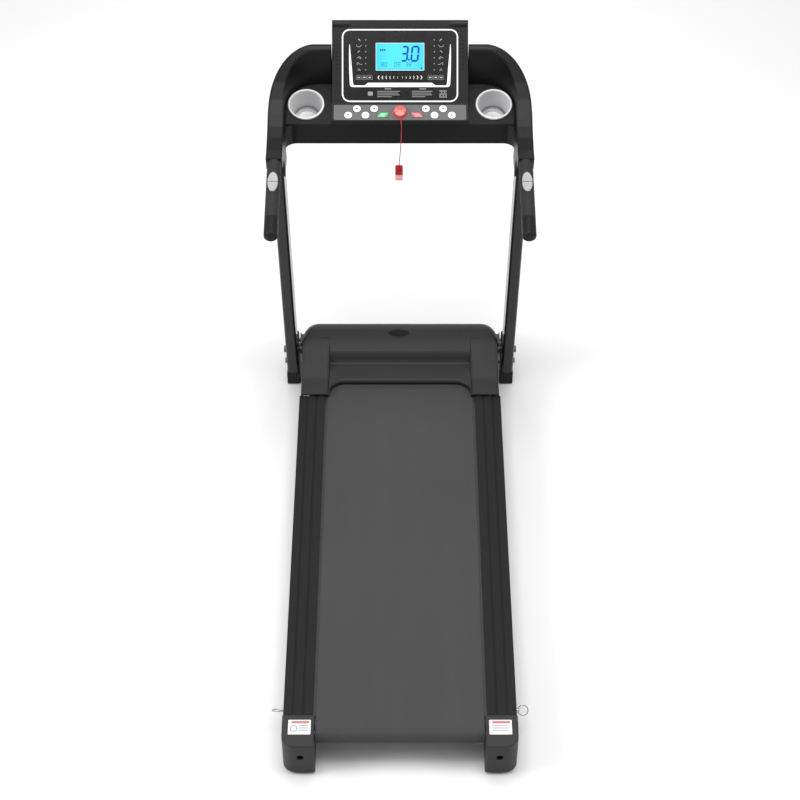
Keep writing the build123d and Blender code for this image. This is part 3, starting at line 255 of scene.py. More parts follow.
def clip_finish():
    """Red clip moulded in two shots: solid red above, clear pinkish jaws below."""
    look = Look("clip_red", Coat_Weight=0.6, Coat_Roughness=0.06)
    _, _, z = look.axes()
    jaws = 1 - z.ramp(0.885, 0.889)
    cloud = look.noise(260, 3)
    solid = look.mix(cloud, (0.34, 0.006, 0.008, 1), (0.50, 0.014, 0.016, 1))
    clear = look.mix(cloud, (0.80, 0.26, 0.25, 1), (0.95, 0.60, 0.57, 1))
    return look.surface(look.mix(jaws, solid, clear), 0.2 + 0.15 * cloud, cloud, 0.00008)


def floor_finish():
    """Matt, nearly white studio floor."""
    look = Look("studio_floor", Specular_IOR_Level=0.1)
    cloud = look.noise(1.5, 2)
    return look.surface(look.mix(cloud, (0.845, 0.84, 0.84, 1), (0.875, 0.87, 0.87, 1)), 0.7 + 0.1 * cloud)


FINISH = {
    "hood": moulded("hood_plastic", 0.031, 0.42, (1, 0.99, 0.99)),
    "rail": moulded("rail_plastic", 0.010, 0.50, (1, 1, 1.02)),
    "cap": moulded("cap_plastic", 0.034, 0.48, (1, 1, 1.02)),
    "console": moulded("console_plastic", 0.0075, 0.38, rounding=0.009),
    "shell": moulded("console_shell_plastic", 0.011, 0.40),
    "keypad": moulded("keypad_plastic", 0.118, 0.46, (1, 1, 1)),
    "plug": moulded("plug_plastic", 0.012, 0.55),
    "pan": moulded("pan_plastic", 0.02, 0.6),
    "wheel": moulded("wheel_plastic", 0.022, 0.5),
    "silver": moulded("silver_plastic", 0.46, 0.30, (1, 1.0, 1.02), grain=0.00003, Metallic=0.35),
    "cup": moulded("cup_plastic", 0.60, 0.34, (1, 1.0, 1.01), grain=0.00003, Metallic=0.15),
    "overlay": moulded("overlay_film", 0.010, 0.30, (1, 1, 1.0), grain=0.00002, rounding=0.0,
                       Coat_Weight=0.05),
    "white_print": moulded("white_print", 0.82, 0.45, (1, 1, 1), grain=0.00002, rounding=0.0),
    "icon_print": moulded("icon_print", 0.45, 0.5, (1, 1, 1), grain=0.00002, rounding=0.0),
    "grey_print": moulded("grey_print", 0.26, 0.5, (1, 1, 1), grain=0.00002, rounding=0.0),
    "dark_print": moulded("dark_print", 0.06, 0.5, (1, 1, 1), grain=0.00002, rounding=0.0),
    "label": moulded("paper_label", 0.78, 0.55, (1, 1, 0.99), grain=0.00003, rounding=0.0),
    "label_print": moulded("label_print", 0.34, 0.5, (1.5, 0.62, 0.60), grain=0.00002, rounding=0.0),
    # painted shade: a near-black finish that stands for the shade inside the speaker slots
    "slot_painted_shade": moulded("slot_shadow", 0.006, 0.7, rounding=0.0),
    "frame": coated("frame_paint", 0.016, 0.38),
    "upright": coated("upright_paint", 0.009, 0.24),
    "strut": coated("strut_paint", 0.012, 0.25),
    "steel": metal("plated_steel", 0.46, 0.32),
    "black_bolt": metal("blackened_steel", 0.09, 0.38),
    "chrome": metal("polished_rod", 0.75, 0.12),
    "motor": metal("motor_casing", 0.16, 0.45),
    "aluminium": metal("finned_aluminium", 0.62, 0.34),
    "ring": metal("ring_wire", 0.42, 0.25),
    "grip": rubber("grip_rubber", 0.024, 0.62, 0.0034, depth=0.0003),
    "grip_cap": moulded("grip_cap_plastic", 0.010, 0.45),
    "foot": rubber("foot_rubber", 0.018, 0.8),
    "drive": rubber("drive_rubber", 0.015, 0.6),
    "belt": belt_finish(),
    "screen": screen_finish(),
    "board": board_finish(),
    "cord": woven_finish(),
    "clip": clip_finish(),
    "red": tinted_gloss("red_plastic", (0.78, 0.035, 0.03, 1), 0.28),
    "red_top": tinted_gloss("red_plastic_light", (0.88, 0.10, 0.08, 1), 0.3),
    "white_key": tinted_gloss("white_key", (0.72, 0.73, 0.75, 1), 0.3, 0.03),
    "green": tinted_gloss("green_print", (0.06, 0.47, 0.16, 1), 0.35),
    "pink": tinted_gloss("stop_print", (0.72, 0.07, 0.10, 1), 0.35),
    "digit": moulded("digit_blue", 0.24, 0.5, (0.0, 0.16, 1.6), grain=0.00002, rounding=0.0),
    "faint_digit": moulded("digit_teal", 0.20, 0.5, (0.05, 0.8, 1.6), grain=0.00002, rounding=0.0),
    "floor": floor_finish(),
}

# what each CAD node that stays is finished with
NODE_FINISH = {
    "frame": ("base_frame", "deck_frame", "incline_leg_left", "incline_leg_right"),
    "upright": ("upright_left", "upright_right"),
    "plug": ("base_tube_plugs",), "pan": ("belly_pan",), "wheel": ("wheel_left", "wheel_right"),
    "foot": ("base_feet", "deck_cushions"), "drive": ("drive_belt",), "board": ("deck_board",),
    "black_bolt": ("frame_bolts", "pivot_bolts"),
    "steel": ("adjuster_bolts", "grip_tubes", "front_roller", "rear_roller"),
    "ring": ("lock_pin_left", "lock_pin_right"),
    "motor": ("drive_motor", "motor_pulley"), "aluminium": ("motor_controller",),
    "strut": ("strut_cylinder",), "chrome": ("strut_rod",),
    "console": ("console_hoop", "console_tray", "tray_cover", "console_back"),
    "shell": ("console_front",), "overlay": ("face_panel",),
    "screen": ("display_screen",), "keypad": ("keypad",),
    "rail": ("side_rails",), "cap": ("rear_caps",), "hood": ("motor_hood",), "belt": ("running_belt",),
    "cup": ("cup_holders",), "grip": ("grip_left", "grip_right"), "grip_cap": ("grip_end_caps",),
    "silver": tuple(f"hand_button_{side}_{half}" for side in ("left", "right") for half in ("front", "rear")),
    "white_key": tuple(f"key_{side}_{place}" for side in ("left", "right") for place in (1, 2, 3, 4)),
    "keypad_key": ("start_key", "stop_key"),
    "red": ("safety_key",), "clip": ("safety_clip",), "cord": ("safety_cord",),
}
FINISH["keypad_key"] = moulded("bar_key_plastic", 0.135, 0.42, (1, 1, 1))
for finish, nodes in NODE_FINISH.items():
    for node in nodes:
        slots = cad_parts[node].data.materials
        slots.clear()
        slots.append(FINISH[finish])


# moulded and formed pieces whose edges are rounded in the mesh as well
for node, reach in (("console_hoop", 0.005), ("side_rails", 0.001)):
    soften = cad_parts[node].modifiers.new("round_edges", "BEVEL")
    soften.width, soften.segments, soften.limit_method, soften.angle_limit = reach, 3, "ANGLE", radians(50)


# ---- piece making -------------------------------------------------------------------
def put(name, points, faces, finish, body, smooth=40, replaces=()):
    """A mesh piece from millimetre points, finished, and riding on its body."""
    mesh = bpy.data.meshes.new(name)
    mesh.from_pydata([Vector(point) * MM for point in points], [], faces)
    shaped = bmesh.new()
    shaped.from_mesh(mesh)
    bmesh.ops.remove_doubles(shaped, verts=shaped.verts, dist=1e-6)
    bmesh.ops.recalc_face_normals(shaped, faces=shaped.faces)
    shaped.to_mesh(mesh)
    shaped.free()
    mesh.materials.append(FINISH[finish])
    piece = bpy.data.objects.new(name, mesh)
    bpy.context.scene.collection.objects.link(piece)
    if smooth:
        mesh.polygons.foreach_set("use_smooth", [True] * len(mesh.polygons))
        mesh.set_sharp_from_angle(angle=radians(smooth))
    if body:
        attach(piece, body)
    if replaces:
        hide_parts(*replaces)
    return piece


def tilted(start, slope):
    """Returns a function from (x, y, lift) on a tilted face of the console to the part's frame."""
    run, rise = cos(radians(slope)), sin(radians(slope))
    return lambda x, y, lift: (x, start[0] + y * run - lift * rise, start[1] + y * rise + lift * run)


# where the key strip, the sloped panel and the tray begin, as Y and Z, and their slopes in degrees
STRIP_START, STRIP_SLOPE = (509.0, 1050.0), 20
PANEL_START, PANEL_SLOPE = (556.924, 1067.443), 45
TRAY_START, TRAY_SLOPE = (513.0, 1035.0), 17
on_strip = tilted(STRIP_START, STRIP_SLOPE)
on_panel = tilted(PANEL_START, PANEL_SLOPE)


def level(height):
    """The same for a level face at a height."""
    return lambda x, y, lift: (x, y, height + lift)


def ramped(value, low, high):
    """0 at low, 1 at high, straight between and held beyond both."""
    return max(0.0, min(1.0, (value - low) / (high - low)))


def grid_faces(rows, count, base=0):
    """The quads between neighbouring rows of count points each."""
    return [(base + row * count + place, base + row * count + place + 1,
             base + (row + 1) * count + place + 1, base + (row + 1) * count + place)
            for row in range(rows - 1) for place in range(count - 1)]


def arc(centre_x, centre_y, radius, start, end, steps):
    """Points along a circle between two angles in degrees."""
    turns = (radians(start + (end - start) * step / steps) for step in range(steps + 1))
    return [(centre_x + radius * cos(turn), centre_y + radius * sin(turn)) for turn in turns]


def rounded(centre_x, centre_y, width, height, corner, steps=6):
    """A rounded rectangle's outline."""
    outline = []
    for quarter, (side_x, side_y) in enumerate(((1, 1), (-1, 1), (-1, -1), (1, -1))):
        middle = (centre_x + side_x * (width / 2 - corner), centre_y + side_y * (height / 2 - corner))
        outline += arc(*middle, corner, 90 * quarter, 90 * quarter + 90, steps)
    return outline


def oval(centre_x, centre_y, half_width, half_height, steps=40):
    turns = [2 * pi * step / steps for step in range(steps)]
    return [(centre_x + half_width * cos(turn), centre_y + half_height * sin(turn)) for turn in turns]


def printed(name, surface, shapes, finish, body="base", lift=0.02, thick=0.16):
    """Thin raised shapes on a face. A shape is one outline, or two of equal count for a ring."""
    points, faces = [], []
    for shape in shapes:
        loops = shape if isinstance(shape[0][0], tuple) else [shape]
        rows = []
        for height in (lift, lift + thick):
            for loop in loops:
                rows.append(range(len(points), len(points) + len(loop)))
                points += [surface(x, y, height) for x, y in loop]
        count = len(loops[0])
        around = [(step, (step + 1) % count) for step in range(count)]
        if len(loops) == 1:
            low, high = rows
            faces += [list(reversed(low)), list(high)]
            walls = [(low, high)]
        else:
            low_out, low_in, high_out, high_in = rows
            walls = [(low_out, high_out), (high_out, high_in), (high_in, low_in), (low_in, low_out)]
        for first, second in walls:
            faces += [(first[a], first[b], second[b], second[a]) for a, b in around]
    return put(name, points, faces, finish, body, smooth=0)


def turned(name, profile, centres, finish, body, replaces=(), steps=96, up=None):
    """Pieces of revolution with a closed (radius, height) profile; up places one that isn't upright."""
    points, faces = [], []
    for centre in centres:
        first = len(points)
        for step in range(steps):
            turn = 2 * pi * step / steps
            for radius, height in profile:
                local = (radius * cos(turn), radius * sin(turn), height)
                points.append(up(centre, local) if up else tuple(a + b for a, b in zip(centre, local)))
        count = len(profile)
        for step in range(steps):
            near, far = first + step * count, first + (step + 1) % steps * count
            for place in range(count):
                after = (place + 1) % count
                faces.append((near + place, near + after, far + after, far + place))
    return put(name, points, faces, finish, body, 35, replaces)


def eased(corners, reach, steps=5):
    """An open path through corners, each turned into a small curve that starts a reach away."""
    path = [corners[0]]
    for before, here, after in zip(corners, corners[1:], corners[2:]):
        a, b, c = Vector(before), Vector(here), Vector(after)
        span = min(reach, (a - b).length * 0.45, (c - b).length * 0.45)
        enter, leave = b + (a - b).normalized() * span, b + (c - b).normalized() * span
        for step in range(steps + 1):
            share = step / steps
            path.append(tuple((1 - share) ** 2 * enter + 2 * share * (1 - share) * b + share ** 2 * leave))
    return path + [corners[-1]]


# ---- safety cord --------------------------------------------------------------------
CORD_ROUTE = ((1.0, 518.2, 1058.4), (1.8, 508.6, 1061.0), (2.6, 500.2, 1057.6), (3.3, 494.8, 1049.6),
              (3.9, 493.2, 1034.0), (3.2, 493.6, 1004.0), (1.0, 494.4, 962.0), (-2.6, 494.8, 911.5))
cord_curve = bpy.data.curves.new("pull_cord", "CURVE")
cord_curve.dimensions = "3D"
cord_line = cord_curve.splines.new("NURBS")
cord_line.points.add(len(CORD_ROUTE) - 1)
for point, place in zip(cord_line.points, CORD_ROUTE):
    point.co = (*(Vector(place) * MM), 1)
cord_line.order_u = 3
cord_line.use_endpoint_u = True
cord_line.resolution_u = 12
cord_curve.bevel_depth = 0.0011
cord_curve.bevel_resolution = 3
cord_curve.use_fill_caps = True
cord_curve.materials.append(FINISH["cord"])
pull_cord = bpy.data.objects.new("pull_cord", cord_curve)
bpy.context.scene.collection.objects.link(pull_cord)
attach(pull_cord, "safety_key")
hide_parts("safety_cord")

# ---- motor hood ---------------------------------------------------------------------
HOOD_HALF, LEDGE_HALF = 287.5, 205.0
HOOD_LOW, LEDGE_LOW = 62.0, 119.2
HOOD_END, LEDGE_END = 710, 600
MOTOR_Y, MOTOR_Z = 600, 110
LIP_SWEEP = 44.0
SOFT_EDGE, FAR_CORNER = 9.0, 48.0
CROWN = ((590, 190), (632, 198), (655, 189), (672, 172), (692, 140), (701, 105), (697, HOOD_LOW))
LEG_START = ((421.5, 124.6), (421.5, 131.6), (474, 137.5), (545, 168))
LEDGE_START = ((472, LEDGE_LOW), (472, 131), (478, 136), (534, 141.5), (541, 148), (546, 162), (553, 172.6))
BEND = 14
LEG_TOP, LEDGE_TOP = eased(LEG_START + CROWN, BEND), eased(LEDGE_START + CROWN, BEND)


def sunk(y, z, reach):
    """A point of the hood's side view moved in towards the motor."""
    y_in, z_in = min(y, MOTOR_Y) - y, min(z, MOTOR_Z) - z
    length = hypot(y_in, z_in) or 1.0
    return y + y_in / length * reach, z + z_in / length * reach


def hood_half(side):
    """One shoulder of the hood: rounded along its outer edge and, beside the ledge, along its inner edge."""
    steps = 8
    # the outer edge's radius grows towards the far upper corner, and the inner one fades out by the crown
    outer = [SOFT_EDGE + (FAR_CORNER - SOFT_EDGE) * ramped((y - 560 + z) / 1.414, 148, 198) for y, z in LEG_TOP]
    inner = [SOFT_EDGE * ramped(y, 590, 530) for y, z in LEG_TOP]
    rows = []
    edges = ((LEDGE_HALF, inner, range(steps + 1)), (HOOD_HALF, outer, range(steps, -1, -1)))
    for edge, reach, turns in edges:
        inwards = 1 if edge == LEDGE_HALF else -1
        for step in turns:
            turn = pi / 2 * step / steps
            rows.append([(edge + inwards * r * (1 - cos(turn)), *sunk(y, z, r * (1 - sin(turn))))
                         for r, (y, z) in zip(reach, LEG_TOP)])
    points = [(side * x, y, z) for row in rows for x, y, z in row]
    count = len(LEG_TOP)
    faces = grid_faces(len(rows), count)
    # walls down to the open bottom: the outer one all along, the inner one beside the ledge
    for row, low, end in ((0, LEDGE_LOW, LEDGE_END), (len(rows) - 1, HOOD_LOW, HOOD_END)):
        base = len(points)
        points += [(side * x, y, min(z, low)) for x, y, z in rows[row]]
        faces += [(row * count + place, row * count + place + 1, base + place + 1, base + place)
                  for place in range(count - 1) if rows[row][place][1] < end]
    return points, faces


def hood_ledge():
    """The sunken part between the shoulders, whose lip sweeps back to the legs in two round corners."""
    steps = 10
    xs = [-LEDGE_HALF + LIP_SWEEP * (1 - cos(pi / 2 * step / steps)) for step in range(steps + 1)]
    xs += [-x for x in reversed(xs)]
    points = []
    for x in xs:
        inside = max(0.0, abs(x) - (LEDGE_HALF - LIP_SWEEP)) / LIP_SWEEP
        pull = LIP_SWEEP * (1 - sqrt(max(0.0, 1 - inside ** 2)))
        for y, z in LEDGE_TOP:
            points.append((x, y - pull * ramped(y, 536, 472), z))
    return points, grid_faces(len(xs), len(LEDGE_TOP))


hood_points, hood_faces = hood_ledge()
for side in (-1, 1):
    more_points, more_faces = hood_half(side)
    hood_faces += [tuple(index + len(hood_points) for index in face) for face in more_faces]
    hood_points += more_points
hood_cover = put("hood_cover", hood_points, hood_faces, "hood", "deck", 50, ("motor_hood",))
thicken = hood_cover.modifiers.new("wall", "SOLIDIFY")
thicken.thickness, thicken.offset = 0.0025, -1

# ---- walking belt -------------------------------------------------------------------
BELT_HALF, BELT_THICK, BELT_TOP = 210.0, 2.0, 118.0
ROLLER_R = 22.0
ROLLER_Z = BELT_TOP - BELT_THICK - ROLLER_R
REAR_ROLLER_Y, FRONT_ROLLER_Y = -718.5, 505.0
ROLLER_GAP, BELT_EDGE = 0.05, 0.6


def belt_loop(radius):
    """The belt's side view at a radius round both rollers."""
    front = arc(FRONT_ROLLER_Y, ROLLER_Z, radius, 90, -90, 24)
    rear = arc(REAR_ROLLER_Y, ROLLER_Z, radius, 270, 90, 24)
    top = [(REAR_ROLLER_Y + (FRONT_ROLLER_Y - REAR_ROLLER_Y) * step / 20, ROLLER_Z + radius)
           for step in range(1, 20)]
    return top + front + rear


outer_loop, inner_loop = belt_loop(ROLLER_R + BELT_THICK), belt_loop(ROLLER_R + ROLLER_GAP)
belt_points, belt_faces = [], []
count = len(outer_loop)
for x in (-BELT_HALF, -BELT_HALF + BELT_EDGE, BELT_HALF - BELT_EDGE, BELT_HALF):
    belt_points += [(x, y, z) for y, z in outer_loop]
for x in (BELT_HALF, -BELT_HALF):
    belt_points += [(x, y, z) for y, z in inner_loop]
for row in range(6):
    near, far = row * count, (row + 1) % 6 * count
    belt_faces += [(near + place, near + (place + 1) % count, far + (place + 1) % count, far + place)
                   for place in range(count)]
put("walking_belt", belt_points, belt_faces, "belt", "deck", 40, ("running_belt",))

# ---- cup holders --------------------------------------------------------------------
CUP_CENTRES = ((-243.5, 60.5, 0.0), (243.5, 60.5, 0.0))
CUP_PROFILE = ((42.6, 0.2), (47.3, 0.3), (47.8, 1.6), (47.6, 4.6), (46.6, 6.4), (44.8, 6.9), (42.6, 6.2), (41.2, 3.6),
               (40.6, -2.0), (37.0, -30.0), (33.0, -56.0), (31.0, -61.0), (27.0, -63.2), (12.0, -63.8), (0.0, -63.8),
               (0.0, -66.0), (29.0, -66.0), (31.9, -62.0), (37.2, -32.0), (42.4, -2.0))
DRAIN_PROFILE = ((26.4, -63.9), (26.4, -61.4), (27.4, -60.8), (28.8, -61.2), (29.2, -63.9))


def on_tray(centre, local):
    """Places a turned piece square to the leaning tray."""
    return tilted(TRAY_START, TRAY_SLOPE)(*(a + b for a, b in zip(centre, local)))


turned("cup_liners", CUP_PROFILE, CUP_CENTRES, "cup", "base", ("cup_holders",), up=on_tray)
turned("cup_drain_rings", DRAIN_PROFILE, CUP_CENTRES, "cup", "base", steps=64, up=on_tray)

# ---- console prints -----------------------------------------------------------------
border = [(rounded(0, 98.7, 300.4, 188.0, 20.5, 8), rounded(0, 98.7, 293.2, 180.8, 17.0, 8))]
screen_line = [(rounded(0, 121.5, 125.2, 71.2, 1.0, 3), rounded(0, 121.5, 123.4, 69.4, 0.6, 3))]


def mirrored(outline):
    return [(-x, y) for x, y in outline]


SWOOSH = [(-131.0, 153), (-129.6, 153), (-127.4, 126), (-124.2, 92), (-121.8, 56), (-120.6, 49.5), (-118.6, 47.6),
          (-91, 47.6), (-83, 54.4), (0, 54.4), (0, 43.2), (-121, 43.2), (-125.8, 44.2), (-128.6, 46.8), (-129.8, 51),
          (-131.4, 88), (-131.8, 122)]


def crescent(x, y, height, bulge, thick):
    """A bracket-like mark that opens towards the middle."""
    steps = 10
    outer, inner = [], []
    for step in range(steps + 1):
        bow = 1 - (2 * step / steps - 1) ** 2
        across = y + height * (step / steps - 0.5)
        outer.append((x - bulge * bow - thick, across))
        inner.append((x - bulge * bow + thick * bow, across))
    return outer + inner[::-1]


def stroke(first, second, half_width):
    """A straight bar between two points."""
    run, rise = second[0] - first[0], second[1] - first[1]
    length = hypot(run, rise) or 1
    side_x, side_y = -rise / length * half_width, run / length * half_width
    return [(first[0] + side_x, first[1] + side_y), (first[0] - side_x, first[1] - side_y),
            (second[0] - side_x, second[1] - side_y), (second[0] + side_x, second[1] + side_y)]


marks = [SWOOSH, mirrored(SWOOSH)]
for place in range(6):
    mark = crescent(-4.6 - 9.6 * place, 68, 5.6 + 1.0 * place, 2.2 + 0.3 * place, 0.45 + 0.14 * place)
    marks += [mark, mirrored(mark)]
small_marks = []
for row in range(6):
    y = 164.6 - 15.3 * row
    for side in (-1, 1):
        # a wandering line of plain strokes that stands for a programme symbol, and its dot
        figure = [(side * (103 + 5 * cos(2.4 * row + 1.1 * step) + 1.4 * step), y + 3.2 * sin(1.7 * step + row))
                  for step in range(0, 5)]
        small_marks += [stroke(first, second, 0.42) for first, second in zip(figure, figure[1:])]
        small_marks.append(oval(side * 88.5, y, 1.2, 1.2, 12))
for side in (-1, 1):
    for place in range(3):
        centre = side * (78.0 + 14.3 * place)
        small_marks.append((rounded(centre, 68, 13.2, 12.0, 3.6, 4), rounded(centre, 68, 12.3, 11.1, 3.2, 4)))
        small_marks.append(rounded(centre, 68, 7.4, 3.0, 1.2, 3))
bars = []
for start, widths in ((-59, (59, 54, 58, 38)), (31, (53, 49, 52, 34))):
    bars.append(rounded(start + 28, 38.6, 17, 2.4, 0.6, 2))
    for row, width in enumerate(widths):
        bars.append(rounded(start + width / 2, 32.4 - 4.6 * row, width, 1.7, 0.4, 2))
bars.append(rounded(-76.5, 26.4, 13, 10.4, 2, 3))
for row in range(5):
    for place in range(5):
        if (row * 3 + place * 2) % 4 != 1:
            bars.append(rounded(103.6 + 3.9 * place, 17.6 + 3.9 * row, 3.1, 3.1, 0.4, 2))
printed("panel_border", on_panel, border, "white_print")
printed("panel_swoosh", on_panel, marks, "white_print")
printed("panel_symbols", on_panel, small_marks, "icon_print")
printed("panel_bars", on_panel, bars, "grey_print")
printed("screen_border", on_panel, screen_line, "white_print", lift=0.03)

SEGMENTS = {"3": "abcdg", "0": "abcdef", "8": "abcdefg"}


def digit(figure, left, low, width, height, thick, lean=0.1):
    """A seven-segment figure as slanted bars."""
    middle = low + height / 2
    right, top = left + width, low + height
    lines = {"a": ((left, top), (right, top)), "b": ((right, top), (right, middle)),
             "c": ((right, middle), (right, low)), "d": ((left, low), (right, low)),
             "e": ((left, middle), (left, low)), "f": ((left, top), (left, middle)),
             "g": ((left, middle), (right, middle))}
    shapes = []
    for segment in SEGMENTS[figure]:
        (x1, y1), (x2, y2) = lines[segment]
        gap, half = thick * 0.06, thick / 2
        if y1 == y2:
            outline = [(x1 + gap, y1), (x1 + gap + half, y1 + half), (x2 - gap - half, y1 + half),
                       (x2 - gap, y1), (x2 - gap - half, y1 - half), (x1 + gap + half, y1 - half)]
        else:
            outline = [(x1, y1 - gap), (x1 + half, y1 - gap - half), (x1 + half, y2 + gap + half),
                       (x1, y2 + gap), (x1 - half, y2 + gap + half), (x1 - half, y1 - gap - half)]
        shapes.append([(x + lean * (y - low), y) for x, y in outline])
    return shapes


def on_screen(x, y, lift):
    """The display's glass, which sits a little below the panel's face."""
    sink = 0.4
    return on_panel(x, y, lift - sink)


big = digit("3", 3.0, 110.8, 14.4, 36.5, 4.9) + digit("0", 28.6, 110.8, 16.6, 36.5, 4.9)
big.append(rounded(22.8, 113.6, 4.2, 4.2, 0.8, 2))
big += [rounded(left, 138.8, 4.2, 4.6, 0.8, 2) for left in (-50, -44.6, -39.2)]
big.append(oval(55.6, 91.6, 2.2, 2.2, 16))
faint = []
for left, figures in ((-49, "80"), (-15, "08"), (14, "38")):
    for place, figure in enumerate(figures):
        faint += digit(figure, left + 9 * place, 96.5, 5.6, 10.5, 1.3)
faint += [rounded(-55 + 5 * place, 90.2, 3.2, 1.1, 0.3, 2) for place in range(20)]
printed("screen_digits", on_screen, big, "digit", lift=0.03, thick=0.1)
printed("screen_faint_digits", on_screen, faint, "faint_digit", lift=0.03, thick=0.08)

# speaker slots on both flanks of the panel, drawn as dark patches: painted shade that stands for the shade inside the
# openings
slots = [rounded(side * 161.5, 164 - 10.4 * row, 11, 1.8, 0.8, 3) for side in (-1, 1) for row in range(8)]
printed("speaker_slots", on_panel, slots, "slot_painted_shade", lift=0.01, thick=0.08)

# raised rounded lobes at the panel's two upper corners
lobe_points, lobe_faces = [], []
for side in (-1, 1):
    base = len(lobe_points)
    for along in range(9):
        fullness = sin(pi / 2 * min(1.0, along / 5))
        for across in range(9):
            turn = pi * across / 8
            x, y = side * (124.0 + 6.4 * along), 206.0 - 8.5 * cos(turn)
            lobe_points.append(on_panel(x, y, 4.2 * sin(turn) * fullness - 0.3))
    lobe_faces += grid_faces(9, 9, base)
    lobe_faces.append(tuple(base + 72 + b for b in range(9)))
    lobe_faces += [(base + 9 * a, base + 9 * a + 9, base + 9 * a + 17, base + 9 * a + 8) for a in range(8)]
put("console_corner_lobes", lobe_points, lobe_faces, "shell", "base", 50)

# ---- key symbols --------------------------------------------------------------------
KEY_TOP = 1.45
for side, word in ((-1, "left"), (1, "right")):
    for place in range(4):
        x, y = side * (66.6 + 22.3 * place), 35.8 if place % 2 == 0 else 16.4
        if place % 2 == 0:
            symbol = [oval(x, y, 2.7, 1.9, 16)]
        elif place == 1:
            symbol = [rounded(x - 1.7, y, 1.5, 4.6, 0.5, 2), rounded(x + 1.7, y, 1.5, 4.6, 0.5, 2)]
        else:
            symbol = [[(x - 3.2, y - 1.9), (x + 3.2, y - 1.9), (x, y + 3.1)]] if side > 0 else \
                     [[(x - 3.2, y + 1.9), (x, y - 3.1), (x + 3.2, y + 1.9)]]
        printed(f"key_mark_{word}_{place + 1}", on_strip, symbol, "dark_print",
                f"key_{word}_{place + 1}", KEY_TOP)
        ring = [(oval(x, y, 11.4, 11.4, 48), oval(x, y, 10.7, 10.7, 48))]
        printed(f"key_rim_{word}_{place + 1}", on_strip, ring, "keypad_key", lift=0.02, thick=0.4)
for side, name, finish, slot in ((-1, "start_key", "green", "start_green"), (1, "stop_key", "pink", "stop_red")):
    x, y = side * 44.2, 16.4
    outline = [(x - 15.3, y - 6.8), (x + 5.5, y - 6.8), (x + 15.3, y + 6.8), (x - 5.5, y + 6.8)]
    stripes = [[(x + shift - 3.4, y - 4.2), (x + shift - 2.6, y - 4.2),
                (x + shift + 3.3, y + 4.2), (x + shift + 2.5, y + 4.2)] for shift in (-4.2, 0.0, 4.2)]
    if side > 0:
        outline, *stripes = [[(2 * x - px, py) for px, py in shape] for shape in (outline, *stripes)]
    printed(f"{name}_face", on_strip, [outline], finish, name, KEY_TOP)
    printed(f"{name}_stripes", on_strip, stripes, "white_print", name, KEY_TOP + 0.17, 0.06)

# ---- safety key ---------------------------------------------------------------------
# a cut-stone top: eight points with ridges that rise to the middle
SAFETY_Y, STAR_R, STAR_LOW, STAR_PEAK = 24.0, 15.4, 9.9, 12.6
star, star_faces = [on_strip(0, SAFETY_Y, STAR_PEAK)], []
for step in range(16):
    turn, radius, height = 2 * pi * step / 16, (STAR_R, 9.0)[step % 2], (10.4, 11.6)[step % 2]
    star.append(on_strip(radius * cos(turn), SAFETY_Y + radius * sin(turn), height))
star += [on_strip(x, y, STAR_LOW) for x, y in oval(0, SAFETY_Y, STAR_R, STAR_R, 16)]
for step in range(16):
    after = (step + 1) % 16
    star_faces += [(0, 1 + step, 1 + after), (1 + step, 17 + step, 17 + after, 1 + after)]
star_faces.append(tuple(range(32, 16, -1)))
put("safety_key_facets", star, star_faces, "red_top", "safety_key", 0)

# ---- hand button seats --------------------------------------------------------------
GRIP_X, GRIP_START, GRIP_SLOPE = 319.0, (375.0, 1017.0), 9.65


def on_grip(side):
    """A face along the middle of a grip: x across it, y forward from where the grip meets its arm."""
    along = tilted(GRIP_START, GRIP_SLOPE)
    return lambda x, y, lift: along(side * GRIP_X + x, y, lift)


for side, word in ((-1, "left"), (1, "right")):
    seat = [(oval(0, -77, 15.2, 33.4, 64), oval(0, -77, 13.5, 31.5, 64))]
    printed(f"button_seat_{word}", on_grip(side), seat, "grip_cap", "base", 9.0, 6.6)

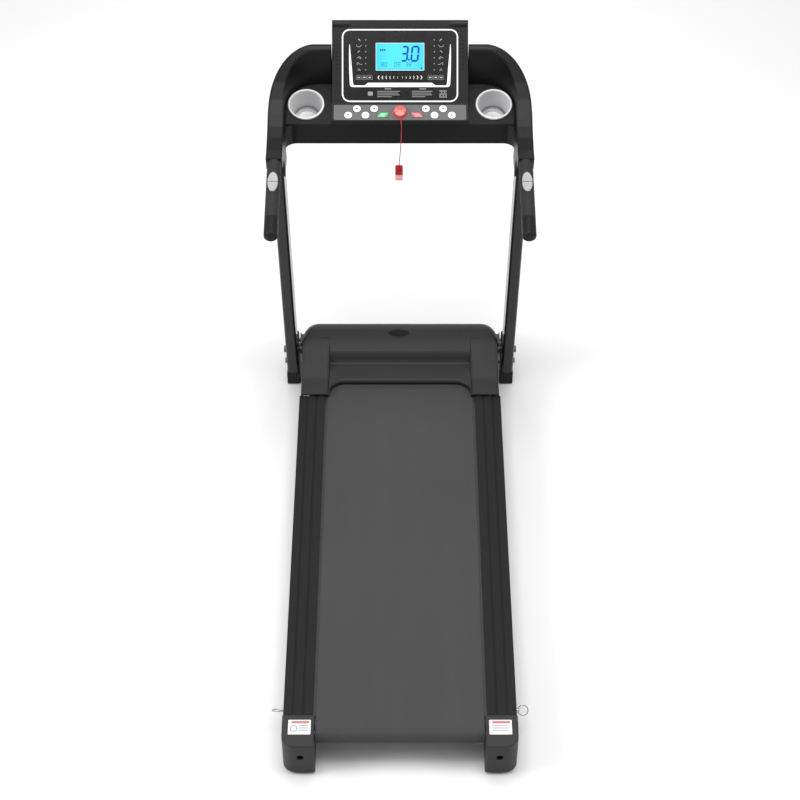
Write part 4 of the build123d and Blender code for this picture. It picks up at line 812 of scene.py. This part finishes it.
# ---- labels on the rear caps --------------------------------------------------------
cap_top = level(123.0)
for side, word in ((-1, "left"), (1, "right")):
    x, y = side * 249.0, -720.0
    printed(f"cap_label_{word}", cap_top, [rounded(x, y, 56, 43, 2, 4)], "label", "deck", 0.02, 0.15)
    lines = [rounded(x + 2, y + 14.5, 44, 7.5, 1, 3)]
    printed(f"cap_label_head_{word}", cap_top, lines, "label_print", "deck", 0.19, 0.05)
    shift, width = (10, 24) if side < 0 else (0, 42)
    body_lines = [rounded(x + shift, y + 5 - 5.2 * row, width, 1.8, 0.5, 2) for row in range(4)]
    if side < 0:
        body_lines.append((oval(x - 14, y - 4, 9.5, 9.5, 32), oval(x - 14, y - 4, 7.2, 7.2, 32)))
    printed(f"cap_label_lines_{word}", cap_top, body_lines, "grey_print", "deck", 0.19, 0.05)

# ---- badge on the hood --------------------------------------------------------------
crown = tilted((590.0, 190.0), 10.8)
badge_rim = [(oval(-4, 20, 33, 15, 64), oval(-4, 20, 30.4, 12.8, 64))]
printed("hood_badge_rim", crown, badge_rim, "hood", "deck", -0.6, 1.2)
printed("hood_badge", crown, [oval(-4, 20, 30.2, 12.6, 64)], "overlay", "deck", -0.6, 0.9)

# ---- stage --------------------------------------------------------------------------
FLOOR_HALF = 9000
floor_corners = [(x * FLOOR_HALF, y * FLOOR_HALF, 0) for x, y in ((-1, -1), (1, -1), (1, 1), (-1, 1))]
floor = put("studio_ground", floor_corners, [(0, 1, 2, 3)], "floor", None, 0)

world = bpy.data.worlds.new("studio_air")
bpy.context.scene.world = world
world.use_nodes = True
world.node_tree.nodes["Background"].inputs["Color"].default_value = (1, 1, 1, 1)
world.node_tree.nodes["Background"].inputs["Strength"].default_value = 0.42
bpy.context.scene.view_settings.view_transform = "Standard"


def soft_light(name, place, aim, size, watts):
    data = bpy.data.lights.new(name, "AREA")
    data.shape, data.size, data.energy = "SQUARE", size, watts
    light = bpy.data.objects.new(name, data)
    light.location = place
    light.rotation_euler = (Vector(aim) - Vector(place)).to_track_quat("-Z", "Y").to_euler()
    bpy.context.scene.collection.objects.link(light)


soft_light("overhead", (0.0, 0.0, 4.6), (0, 0, 0.2), 2.6, 128)
soft_light("left_window", (-3.4, -0.8, 2.8), (0, 0, 0.4), 2.0, 84)
soft_light("right_window", (3.4, -0.8, 2.8), (0, 0, 0.4), 2.0, 52)
soft_light("front_window", (0, 3.8, 2.4), (0, 0.2, 0.5), 2.4, 30)
